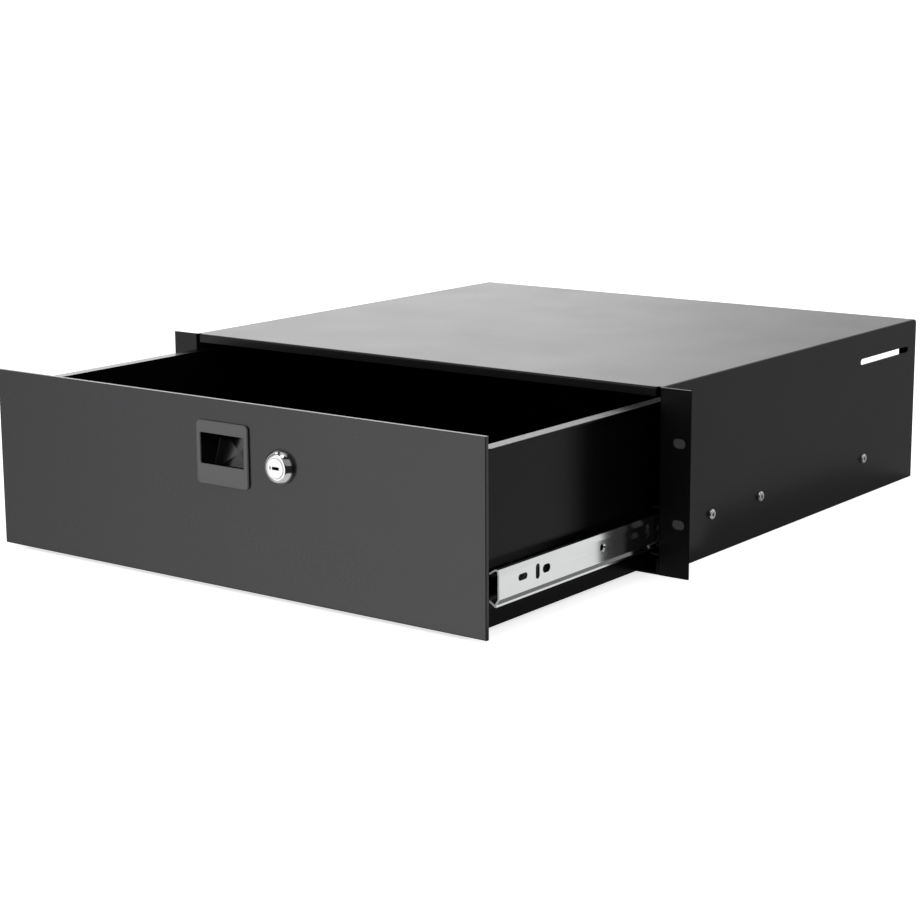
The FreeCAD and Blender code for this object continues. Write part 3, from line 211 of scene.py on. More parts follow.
class StudioSettings(bpy.types.PropertyGroup):
    """Camera, lights and floor."""

    camera_place: FloatVectorProperty(
        name="Camera", description="Where the camera stands", subtype="TRANSLATION", unit="LENGTH",
        default=(0.99031, -1.25954, 0.32526),
    )
    camera_turn: FloatProperty(
        name="Turn", description="Camera's turn to the right of the object's front", subtype="ANGLE",
        default=math.radians(36.871),
    )
    camera_height: FloatProperty(
        name="Height", description="Angle at which the camera looks down", subtype="ANGLE",
        default=math.radians(11.857),
    )
    camera_roll: FloatProperty(
        name="Roll", description="Camera's lean about its line of sight", subtype="ANGLE",
        default=math.radians(-0.322),
    )
    lens: FloatProperty(
        name="Lens", description="Focal length on a 36 mm sensor, in millimetres", default=85.49,
        min=20.0, max=300.0,
    )
    floor_colour: FloatVectorProperty(
        name="Floor", description="Pale floor", subtype="COLOR", default=(0.6, 0.6, 0.6),
        min=0.0, max=1.0,
    )
    floor_glow: FloatProperty(
        name="Floor glow", description="Light that the floor gives off by itself", default=0.7,
        min=0.0, max=2.0,
    )
    floor_reach: FloatProperty(
        name="Floor reach", description="Middle of the floor to its edges", default=30.0, min=1.0,
        max=100.0, unit="LENGTH",
    )
    sky_strength: FloatProperty(
        name="Surroundings", description="Brightness of the pale room", default=1.0, min=0.0, max=5.0,
    )
    key_place: FloatVectorProperty(
        name="Soft box", description="Where the soft box hangs", subtype="TRANSLATION", unit="LENGTH",
        default=(-0.6, -0.5, 2.2),
    )
    key_size: FloatProperty(
        name="Soft box size", description="Side of the square soft box", default=1.8, min=0.1,
        max=10.0, unit="LENGTH",
    )
    key_power: FloatProperty(
        name="Soft box power", description="Power of the soft box, in watts", default=12.0, min=0.0,
        max=200.0,
    )
    # The strip and the sheet are painted shadow: dark cards, with a faint glow, seen only in
    # reflections
    strip_width: FloatProperty(
        name="Strip", description="Part of the dark strip that stands out beyond the ear",
        default=23.5 * mm, min=0.0, max=200 * mm, unit="LENGTH",
    )
    strip_behind: FloatProperty(
        name="Strip place", description="The dark strip behind the front of the ears",
        default=3 * mm, min=0.0, max=50 * mm, unit="LENGTH",
    )
    strip_glow: FloatProperty(
        name="Strip glow", description="Light that the dark strip gives off", default=0.035,
        min=0.0, max=2.0,
    )
    sheet_start: FloatProperty(
        name="Sheet start", description="Where the grey sheet starts to widen, behind the ears",
        default=90 * mm, min=0.0, max=400 * mm, unit="LENGTH",
    )
    sheet_reach: FloatProperty(
        name="Sheet reach", description="The grey sheet beyond the object's right side",
        default=50 * mm, min=0.0, max=500 * mm, unit="LENGTH",
    )
    sheet_glow: FloatProperty(
        name="Sheet glow", description="Light that the grey sheet gives off", default=0.2,
        min=0.0, max=2.0,
    )


# ---- node helpers ----
def new_group(name, inputs, outputs):
    """An empty shader node group: (name, kind, default) inputs and (name, kind) outputs."""
    group = bpy.data.node_groups.new(name, "ShaderNodeTree")
    for label, kind, default in inputs:
        socket = group.interface.new_socket(label, in_out="INPUT", socket_type=f"NodeSocket{kind}")
        socket.default_value = default
    for label, kind in outputs:
        group.interface.new_socket(label, in_out="OUTPUT", socket_type=f"NodeSocket{kind}")
    return group, group.nodes.new("NodeGroupInput"), group.nodes.new("NodeGroupOutput")


def add_node(tree, kind, links=None, **settings):
    """A node with its settings, and its inputs by name or number linked or given a value."""
    node = tree.nodes.new(f"ShaderNode{kind}")
    for key, value in settings.items():
        setattr(node, key, value)
    for key, value in (links or {}).items():
        if isinstance(value, bpy.types.NodeSocket):
            tree.links.new(value, node.inputs[key])
        else:
            node.inputs[key].default_value = value
    return node


def maths(tree, operation, first, second, clamp=False):
    """The result of one calculation with two values or sockets."""
    node = add_node(tree, "Math", {0: first, 1: second}, operation=operation, use_clamp=clamp)
    return node.outputs[0]


def ranged(tree, value, start, finish, low=0.0, high=1.0, kind="LINEAR"):
    """A value carried from the range (start, finish) to the range (low, high), and held there."""
    node = add_node(tree, "MapRange", {
        "Value": value, "From Min": start, "From Max": finish, "To Min": low, "To Max": high,
    }, interpolation_type=kind)
    return node.outputs[0]


def blended(tree, share, first, second, kind="FLOAT"):
    """The first where the share is 0 and the second where it is 1."""
    node = add_node(tree, "Mix", {"Factor": share, "A": first, "B": second}, data_type=kind)
    return node.outputs["Result"]


def share_behind(tree, place, start, finish):
    """0 in front of the start along Y, 1 behind the finish, and a straight run between them."""
    return ranged(tree, add_node(tree, "SeparateXYZ", {"Vector": place}).outputs["Y"], start, finish)


# ---- materials ----
def grain_group():
    """Powder coat: the fine pebbled skin of cured powder, with a slow drift in gloss.

    Puts out a height, and a value round 1 by which the roughness varies.
    """
    group, source, target = new_group(
        "powder_grain", [("Vector", "Vector", (0, 0, 0)), ("Scale", "Float", 1000.0)],
        [("Height", "Float"), ("Gloss", "Float")],
    )
    place, scale = source.outputs["Vector"], source.outputs["Scale"]
    pebbles = add_node(group, "TexVoronoi", {"Vector": place, "Scale": scale}, feature="SMOOTH_F1")
    waves = add_node(group, "TexNoise", {"Vector": place, "Scale": scale, "Detail": 3.0})
    height = maths(group, "ADD", pebbles.outputs["Distance"], waves.outputs["Fac"])
    drift = add_node(group, "TexNoise", {"Vector": place, "Scale": 14.0, "Detail": 4.0})
    group.links.new(height, target.inputs["Height"])
    gloss = ranged(group, drift.outputs["Fac"], 0.0, 1.0, 0.9, 1.1)
    group.links.new(gloss, target.inputs["Gloss"])
    return group


def streak_group():
    """Drawn or brushed metal: long fine lines along one axis, under a cloudy bloom.

    Puts out a height, a roughness factor round 1 and a colour factor round 1.
    """
    group, source, target = new_group(
        "drawn_lines",
        [("Vector", "Vector", (0, 0, 0)), ("Stretch", "Vector", LENGTHWAYS)],
        [("Height", "Float"), ("Roughness", "Float"), ("Tone", "Float")],
    )
    place = source.outputs["Vector"]
    stretched = add_node(group, "Mapping", {"Vector": place, "Scale": source.outputs["Stretch"]})
    lines = add_node(group, "TexNoise", {"Vector": stretched.outputs["Vector"], "Scale": 1.0,
                                        "Detail": 3.0})
    clouds = add_node(group, "TexNoise", {"Vector": place, "Scale": 45.0, "Detail": 4.0})
    both = maths(group, "ADD", lines.outputs["Fac"], clouds.outputs["Fac"])
    least, most = 0.6, 1.4
    group.links.new(lines.outputs["Fac"], target.inputs["Height"])
    group.links.new(ranged(group, both, least, most, 0.75, 1.3), target.inputs["Roughness"])
    group.links.new(ranged(group, both, least, most, 0.9, 1.06), target.inputs["Tone"])
    return group


def shared_group(name):
    """One of the node groups that several materials share, made the first time it is asked for."""
    makers = {"powder_grain": grain_group, "drawn_lines": streak_group}
    return bpy.data.node_groups.get(name) or makers[name]()


def new_material(name):
    """A material with a Principled shader, its tree, the shader and the object coordinates."""
    material = bpy.data.materials.new(name)
    material.use_nodes = True
    tree = material.node_tree
    shader = tree.nodes["Principled BSDF"]
    return material, tree, shader, tree.nodes.new("ShaderNodeTexCoord").outputs["Object"]


def parts_of(material):
    """The tree, the shader and the object coordinates of a material made above."""
    tree = material.node_tree
    source = next(node for node in tree.nodes if node.bl_idname == "ShaderNodeTexCoord")
    return tree, tree.nodes["Principled BSDF"], source.outputs["Object"]


def add_bump(tree, shader, height, distance):
    bump = add_node(tree, "Bump", {"Height": height, "Distance": distance, "Strength": 1.0})
    tree.links.new(bump.outputs["Normal"], shader.inputs["Normal"])


def painted(name, colour, roughness, grain_size, specular=0.5):
    """Powder-coated steel, or a grained moulding."""
    material, tree, shader, place = new_material(name)
    grain = add_node(tree, "Group", {"Vector": place, "Scale": 1.0 / grain_size},
                     node_tree=shared_group("powder_grain"))
    shader.inputs["Base Color"].default_value = (*colour, 1.0)
    shader.inputs["Specular IOR Level"].default_value = specular
    rough = maths(tree, "MULTIPLY", grain.outputs["Gloss"], roughness, clamp=True)
    tree.links.new(rough, shader.inputs["Roughness"])
    add_bump(tree, shader, grain.outputs["Height"], grain_size * GRAIN_RELIEF)
    return material


def plated(name, colour, roughness, stretch=None):
    """Zinc-plated, chromed or plain steel with drawn lines."""
    material, tree, shader, place = new_material(name)
    lines = add_node(tree, "Group", {"Vector": place, "Stretch": stretch or LENGTHWAYS},
                     node_tree=shared_group("drawn_lines"))
    base = add_node(tree, "VectorMath", {0: colour, "Scale": lines.outputs["Tone"]},
                    operation="SCALE")
    tree.links.new(base.outputs[0], shader.inputs["Base Color"])
    shader.inputs["Metallic"].default_value = 1.0
    rough = maths(tree, "MULTIPLY", lines.outputs["Roughness"], roughness, clamp=True)
    tree.links.new(rough, shader.inputs["Roughness"])
    add_bump(tree, shader, lines.outputs["Height"], LINE_RELIEF)
    return material


def cut_ends(name, colour, roughness, front):
    """Plated strip whose sheared front end is matte: bare grain that scatters light."""
    material = plated(name, colour, roughness)
    tree, shader, place = parts_of(material)
    strip = share_behind(tree, place, *(front + depth for depth in CUT_END))
    tree.links.new(strip, shader.inputs["Metallic"])
    haze = ranged(tree, strip, 0.0, 1.0, CUT_HAZE, 0.0)
    shine = shader.inputs["Roughness"].links[0].from_socket
    tree.links.new(maths(tree, "ADD", shine, haze, clamp=True), shader.inputs["Roughness"])
    return material


def dulled(name, colour, roughness, metal):
    """A dull zinc: the plated metal mixed with a grey that scatters light, by the metal's share."""
    material = plated(name, colour, roughness)
    parts_of(material)[1].inputs["Metallic"].default_value = metal
    return material


def polished_cup(settings, panel):
    """The pull's moulding: a grained rim, and a smooth cup from just inside its mouth, whose near-black
    colour there is painted shade for the recess.
    """
    material, tree, shader, place = new_material("pull_moulding_painted_cup_shade")
    inside = share_behind(tree, place, *(panel - proud for proud in CUP_START))
    grain = add_node(tree, "Group", {"Vector": place, "Scale": 1.0 / RIM_GRAIN},
                     node_tree=shared_group("powder_grain"))
    # Painted shade: the cup's inside is coloured near black for the shade in its recess
    colour = blended(tree, inside, (*settings.pull_colour, 1.0), CUP_PAINTED_SHADE, "RGBA")
    tree.links.new(colour, shader.inputs["Base Color"])
    rim_rough, cup_rough = 0.42, 0.14
    rough = ranged(tree, inside, 0.0, 1.0, rim_rough, cup_rough)
    rough = maths(tree, "MULTIPLY", rough, grain.outputs["Gloss"])
    tree.links.new(rough, shader.inputs["Roughness"])
    outside = maths(tree, "SUBTRACT", 1.0, inside)
    height = maths(tree, "MULTIPLY", grain.outputs["Height"], outside)
    add_bump(tree, shader, height, RIM_RELIEF)
    return material


def keyed_chrome(name, face):
    """Chrome with painted shade in its keyway: black behind the plug's face."""
    material = plated(name, CHROME, 0.07, EVEN)
    tree, shader, place = parts_of(material)
    hole = share_behind(tree, place, *(face + depth for depth in KEYWAY))
    chrome = shader.inputs["Base Color"].links[0].from_socket
    # Painted shade: black in the keyway behind the face, where the recess is in shade
    colour = blended(tree, hole, chrome, KEYWAY_PAINTED_SHADE, "RGBA")
    tree.links.new(colour, shader.inputs["Base Color"])
    return material


GRAIN_RELIEF = 0.06  # height of the coat's grain, as a share of its size
LINE_RELIEF = 0.004 * mm  # height of the lines drawn in plated steel
CUT_HAZE = 0.5  # roughness that a sheared end adds
CUT_END = (0.1 * mm, 0.9 * mm)  # behind a sheared end, where bare grain gives way to plating
# Where the rim gives way to the cup, the colour also gives way to the cup's painted shade
CUP_START = (1.2 * mm, 0.6 * mm)  # in front of the panel, where the rim gives way to the cup
RIM_GRAIN, RIM_RELIEF = 0.4 * mm, 0.03 * mm  # size and height of the rim's grain
# Behind the plug's face the chrome gives way to painted shade for the keyway
KEYWAY = (0.15 * mm, 0.4 * mm)  # behind the plug's face, where chrome gives way to black
# Near black inside the cup: painted shade for the recess
CUP_PAINTED_SHADE = (0.001, 0.001, 0.001, 1.0)
# Painted shade in the keyway
KEYWAY_PAINTED_SHADE = (0.004, 0.004, 0.004, 1.0)
ZINC = (0.72, 0.73, 0.73)
CHROME = (0.5, 0.5, 0.505)
# How far the noise is stretched along each axis: lines along Y, or the same all ways
LENGTHWAYS = (1500.0, 6.0, 1500.0)
EVEN = (400.0, 400.0, 400.0)

# The finish of each material slot of the record
FINISHES = {
    "case_paint": lambda s: painted("case_coat", s.case_colour, 0.3, s.grain_size, 0.22),
    "drawer_paint": lambda s: painted("tray_coat", s.tray_colour, 0.21, s.grain_size, 0.12),
    "panel_paint": lambda s: painted("panel_coat", s.panel_colour, 0.28, s.grain_size),
    "pull_plastic": lambda s: painted("pull_moulding", s.pull_colour, 0.42, 0.35 * mm),
    "stop_rubber": lambda s: painted("stop_rubber", (0.02, 0.02, 0.02), 0.7, 0.5 * mm, 0.3),
    "rail_zinc": lambda s: plated("rail_zinc", ZINC, 0.13),
    "cage_steel": lambda s: plated("cage_steel", (0.6, 0.6, 0.6), 0.3),
    "ball_steel": lambda s: plated("ball_steel", (0.78, 0.78, 0.79), 0.08, (60.0, 60.0, 60.0)),
    "screw_zinc": lambda s: plated("screw_zinc", (0.72, 0.72, 0.73), 0.24, (300.0, 300.0, 300.0)),
    "lock_chrome": lambda s: plated("lock_chrome", CHROME, 0.06, EVEN),
    "cam_zinc": lambda s: plated("cam_zinc", (0.66, 0.65, 0.62), 0.3, (900.0, 900.0, 40.0)),
}
made_finishes = {}


def finish_of(slot):
    """The finish of one of the record's material slots, made once."""
    if slot not in made_finishes:
        made_finishes[slot] = FINISHES[slot](bpy.context.scene.rack_paint)
    return made_finishes[slot]


def cover_with(thing, material):
    """Gives an object one material without touching its mesh."""
    for slot in thing.material_slots:
        slot.link = "OBJECT"
        slot.material = material


# ---- surfaces ----
def rounded_rectangle(half_width, low, high, corner, middle_x, steps=7):
    """Points (x, z) round a rectangle with round corners, anticlockwise seen from the front.

    Each corner is a quarter circle: its centre plus the radius times the cosine and sine of an
    angle that runs through that quarter. Every outline has the same number of points.
    """
    quarter = np.linspace(0.0, np.pi / 2, steps)
    centres = np.array([(half_width - corner, high - corner), (corner - half_width, high - corner),
                        (corner - half_width, low + corner), (half_width - corner, low + corner)])
    angles = quarter[None, :] + np.arange(4)[:, None] * np.pi / 2
    ring = centres[:, None, :] + corner * np.stack([np.cos(angles), np.sin(angles)], axis=-1)
    ring = ring.reshape(-1, 2)
    ring[:, 0] += middle_x
    return ring


def divided(ring, parts):
    """A closed outline with each of its runs divided, by straight interpolation, into parts."""
    following = np.roll(ring, -1, axis=0)
    share = np.arange(parts)[None, :, None] / parts
    return (ring[:, None, :] * (1 - share) + following[:, None, :] * share).reshape(-1, ring.shape[1])


def rings_to_piece(name, rings, slot, body, node, material=None):
    """A closed piece from rings of equal length, each joined to the next by quads.

    The rings are an array (ring, point, xyz). If the first and last are given as one point each,
    they are the poles, and the point is shared; if not, the last ring is joined to the first.
    """
    count, around = rings.shape[:2]
    first = np.arange(count * around).reshape(count, around)
    poles = np.ptp(rings[0], axis=0).max() < 1e-9
    below = first[:-1] if poles else first
    above = first[1:] if poles else np.roll(first, -1, axis=0)
    quads = np.stack([below, np.roll(below, -1, axis=1), np.roll(above, -1, axis=1), above], axis=-1)
    mesh = bpy.data.meshes.new(name)
    mesh.from_pydata(rings.reshape(-1, 3), [], quads.reshape(-1, 4))
    shape = bmesh.new()
    shape.from_mesh(mesh)
    bmesh.ops.remove_doubles(shape, verts=shape.verts, dist=1e-7)
    bmesh.ops.recalc_face_normals(shape, faces=shape.faces)
    for face in shape.faces:
        face.smooth = True
    for edge in shape.edges:
        edge.smooth = edge.is_manifold and edge.calc_face_angle() < SHARP
    shape.to_mesh(mesh)
    shape.free()
    piece = bpy.data.objects.new(name, mesh)
    bpy.context.collection.objects.link(piece)
    mesh.materials.append(material or finish_of(slot))
    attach(piece, body)
    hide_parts(node)
    return piece


def softened(corners, steps=5):
    """A closed profile of (radius, place, rounding) with each corner cut by a smooth curve.

    The curve runs from a point before the corner to one after it, each the rounding away: the
    weights (1 - t) squared, 2 t (1 - t) and t squared times those two points and the corner.
    """
    points = corners[:, :2]
    before, after = np.roll(points, 1, axis=0), np.roll(points, -1, axis=0)

    def towards(other):
        way = other - points
        return points + way / np.linalg.norm(way, axis=1, keepdims=True) * corners[:, 2:]

    start, finish = towards(before), towards(after)
    t = np.linspace(0.0, 1.0, steps)[None, :, None]
    curve = (1 - t) ** 2 * start[:, None] + 2 * t * (1 - t) * points[:, None] + t ** 2 * finish[:, None]
    curve = curve.reshape(-1, 2)
    apart = np.linalg.norm(curve - np.roll(curve, 1, axis=0), axis=1) > 1e-7
    return curve[apart]


SHARP = math.radians(34)


# ---- operators ----
class RACK_OT_finishes(bpy.types.Operator):
    """Gives every built node the finish of its slot"""

    bl_idname = "rack.finishes"
    bl_label = "Finish the Built Nodes"

    def execute(self, context):
        nodes = frame["nodes"]
        for entry in frame["record"]["subparts"]:
            cover_with(nodes[entry["node"]], finish_of(entry["material_slot"]))
        plug_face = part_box("lock_plug")[0][1]
        cover_with(nodes["lock_plug"], keyed_chrome("lock_plug_chrome_painted_keyway_shade", plug_face))
        rail_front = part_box("right_middle_rail")[0][1]
        bright = cut_ends("middle_rail_zinc", ZINC, 0.13, rail_front)
        dull = dulled("inner_rail_zinc", (0.3, 0.3, 0.3), 0.4, 0.5)
        for side in ("right", "left"):
            cover_with(nodes[f"{side}_middle_rail"], bright)
            cover_with(nodes[f"{side}_inner_rail"], dull)
            cover_with(nodes[f"{side}_tray_screws"], dull)
        return {"FINISHED"}


class RACK_OT_finger_pull(bpy.types.Operator):
    """Moulds the finger pull: a soft-edged rim and a cup whose back leans"""

    bl_idname = "rack.finger_pull"
    bl_label = "Finger Pull"

    def execute(self, context):
        settings = context.scene.rack_pull
        low, high = (Vector(corner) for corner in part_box("finger_pull"))
        self.settings = settings
        self.front, self.panel = low.y, low.y + settings.rim_proud
        self.half, self.middle = (high.x - low.x) / 2, (high.x + low.x) / 2
        self.low, self.high = low.z, high.z
        self.mouth_half = self.half - settings.side_margin
        self.mouth_low = low.z + settings.bottom_margin
        self.mouth_high = high.z - settings.top_margin
        self.floor = self.mouth_low - settings.cup_drop
        rings = [*self.cup_outside(), *self.rim(), *self.lip(), *self.cup_inside()]
        rings_to_piece("moulded_pull", np.array(rings), "pull_plastic", "drawer", "finger_pull",
                       polished_cup(context.scene.rack_paint, self.panel))
        return {"FINISHED"}

    def outline(self, half_width, bottom, top, corner):
        """A rounded rectangle about the pull's middle, its runs divided in three."""
        return divided(rounded_rectangle(half_width, bottom, top, corner, self.middle), 3)

    def flat(self, half_width, bottom, top, corner, place):
        """That outline at one place along Y."""
        ring = self.outline(half_width, bottom, top, corner)
        return np.column_stack([ring[:, 0], np.full(len(ring), place), ring[:, 1]])

    def leaning(self, ring, play, share):
        """An outline carried back by a share of the cup's depth.

        The depth at a height is the shallow depth plus the rest of it times the rise of that
        height, which is 0 at the cup's floor and 1 at the top of its mouth.
        """
        shallow, deep = self.settings.cup_shallow, self.settings.cup_depth
        rise = np.clip((ring[:, 1] - self.floor) / (self.mouth_high - self.floor), 0.0, 1.0)
        depth = shallow + (deep - shallow) * rise
        return np.column_stack([ring[:, 0], self.panel + (depth + play) * share, ring[:, 1]])

    def pole(self, count, play):
        """The middle of the cup's back, once for each point of an outline."""
        middle = [[self.middle, (self.floor + self.mouth_high) / 2]]
        return self.leaning(np.tile(middle, (count, 1)), play, 1.0)

    def wall_ring(self, play, share):
        """The cup's wall, its inside set outwards by the play, at a share of its depth."""
        ring = self.outline(self.mouth_half + play, self.floor - play, self.mouth_high + play,
                            self.settings.cup_corner)
        return self.leaning(ring, play, share)

    def back_ring(self, play):
        """The flat of the cup's back, inside the rounding where it meets the wall."""
        soft = self.settings.cup_corner
        ring = self.outline(self.mouth_half + play - soft, self.floor - play + soft,
                            self.mouth_high + play - soft, soft)
        return self.leaning(ring, play, 1.0)

    def cup_outside(self):
        """The cup from the middle of its back, round its outside, to the panel."""
        wall = self.settings.cup_wall
        back = self.back_ring(wall)
        sides = [self.wall_ring(wall, share) for share in (*reversed(CUP_SHARES), 0.0)]
        return [self.pole(len(back), wall), back, *sides]

    def rim(self):
        """The rim's side and its rounded front edge.

        The rounding is a quarter circle of the edge's radius: the inset is the radius times one
        less the cosine of the turn, and the place is the radius times one less its sine.
        """
        edge, corner = self.settings.rim_edge, self.settings.rim_corner
        profile = [(0.0, self.panel), (0.0, self.front + edge)]
        for turn in np.linspace(0.15, 1.0, 6) * np.pi / 2:
            profile.append((edge * (1 - np.cos(turn)), self.front + edge * (1 - np.sin(turn))))
        return [self.flat(self.half - inset, self.low + inset, self.high - inset, corner - inset, place)
                for inset, place in profile]

    def lip(self):
        """The rim's inner edge, a quarter circle turned inwards, and the mouth behind it."""
        lip, corner = self.settings.lip, self.settings.mouth_corner
        profile = []
        for turn in np.linspace(0.0, 1.0, 5) * np.pi / 2:
            profile.append((lip * (1 - np.sin(turn)), self.front + lip * (1 - np.cos(turn))))
        profile += [(0.0, self.panel), (0.0, self.panel + self.settings.cup_wall)]
        return [self.flat(self.mouth_half + inset, self.mouth_low - inset, self.mouth_high + inset,
                          corner, place) for inset, place in profile]

    def cup_inside(self):
        """The cup from behind the mouth, down its inside, to the middle of its back."""
        mouth = self.outline(self.mouth_half, self.floor, self.mouth_high, self.settings.mouth_corner)
        back = self.back_ring(0.0)
        sides = [self.wall_ring(0.0, share) for share in CUP_SHARES]
        return [self.leaning(mouth, 0.0, MOUTH_SHARE), *sides, back, self.pole(len(back), 0.0)]


CUP_SHARES = (0.5, 0.9, 0.97)  # of the cup's depth, where its wall has a ring of points
MOUTH_SHARE = 0.16  # of the cup's depth, where it has widened below the mouth


class RACK_OT_lock(bpy.types.Operator):
    """Turns the lock's chromed head and barrel"""

    bl_idname = "rack.lock"
    bl_label = "Lock Housing"

    def execute(self, context):
        settings = context.scene.rack_lock
        low, high = (Vector(corner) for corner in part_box("lock_housing"))
        middle_x, middle_z = (low.x + high.x) / 2, (low.z + high.z) / 2
        face, back, panel = low.y, high.y, low.y + settings.head_proud
        head, bore, edge = (high.x - low.x) / 2, settings.bore, settings.edge
        profile = softened(np.array([
            (bore, back, settings.bore_edge), (settings.barrel, back, settings.barrel_edge),
            (settings.barrel, panel, 0.0), (head, panel, settings.seat_edge),
            (head, panel - settings.head_side, edge), (settings.face_radius, face, edge),
            (bore, face, settings.face_edge),
        ]))
        rings = self.turned(profile, panel, bore, settings.flats / 2)
        rings[..., 0] += middle_x
        rings[..., 2] += middle_z
        rings_to_piece("turned_lock", rings, "lock_chrome", "drawer", "lock_housing")
        return {"FINISHED"}

    def turned(self, profile, panel, bore, half_flats):
        """The profile turned about Y: x is the radius times the cosine, z times the sine.

        Behind the panel the barrel has a flat above and one below: there the radius is at most half
        the width over the flats divided by the size of the sine.
        """
        angles = np.linspace(0.0, 2 * np.pi, LOCK_SIDES, endpoint=False)
        radius = np.repeat(profile[:, :1], LOCK_SIDES, axis=1)
        behind = (profile[:, 1] > panel + HAIR) & (profile[:, 0] > bore + 10 * HAIR)
        flat = half_flats / np.maximum(np.abs(np.sin(angles)), 1e-6)
        radius = np.where(behind[:, None], np.minimum(radius, flat[None, :]), radius)
        place = np.repeat(profile[:, 1:], LOCK_SIDES, axis=1)
        return np.stack([radius * np.cos(angles), place, radius * np.sin(angles)], axis=-1)


LOCK_SIDES = 96
HAIR = 0.01 * mm  # play where a point is compared with a face

# Brightness of the room's walls: (degrees to the right of straight back, brightness). The two ends
# come first, because a new ramp already holds them.
WALLS = ((-180, 0.03), (180, 0.03), (-167, 1.9), (-152, 2.2), (-145, 1.6), (-139, 2.1),
         (-130, 0.5), (-115, 0.3), (-90, 0.9), (-55, 2.15), (-36, 2.08), (-26, 1.15), (-10, 0.12),
         (26, 0.3), (32.5, 1.0), (37, 1.0), (44, 0.3), (82, 0.03))
WALL_GAIN = 2.5
# Small lamps overhead: (direction, half its width in degrees, brightness)
LAMPS = (((0.02, -0.46, 0.888), 9.0, 5.0), ((-0.61, -0.19, 0.77), 6.0, 3.0))
LAMP_EDGE = 2.0  # degrees over which a lamp fades, to either side of its edge
# Degrees of rise over which each other part of the room comes in, and its brightness
SCREEN_RISE = (22.0, 32.0)  # a screen behind the object, above the walls
SCREEN_DEPTH = (0.1, 0.4)  # it comes in over this part of the direction's Y
FLOOR_RISE = (-36.0, -26.0)
SCREEN_AND_FLOOR = 1.0
UPPER_RISE, UPPER_WALLS = (8.0, 14.0), 0.45
CEILING_RISE, CEILING = (43.0, 53.0), 0.1
SKYLIGHT_RISE, SKYLIGHT = (62.0, 72.0), 0.8
PLAIN_WHITE = 1.1  # what the camera and the surfaces' soft shades see
FLOOR_DROP, SHEET_DROP = 0.2 * mm, 0.1 * mm  # below the object


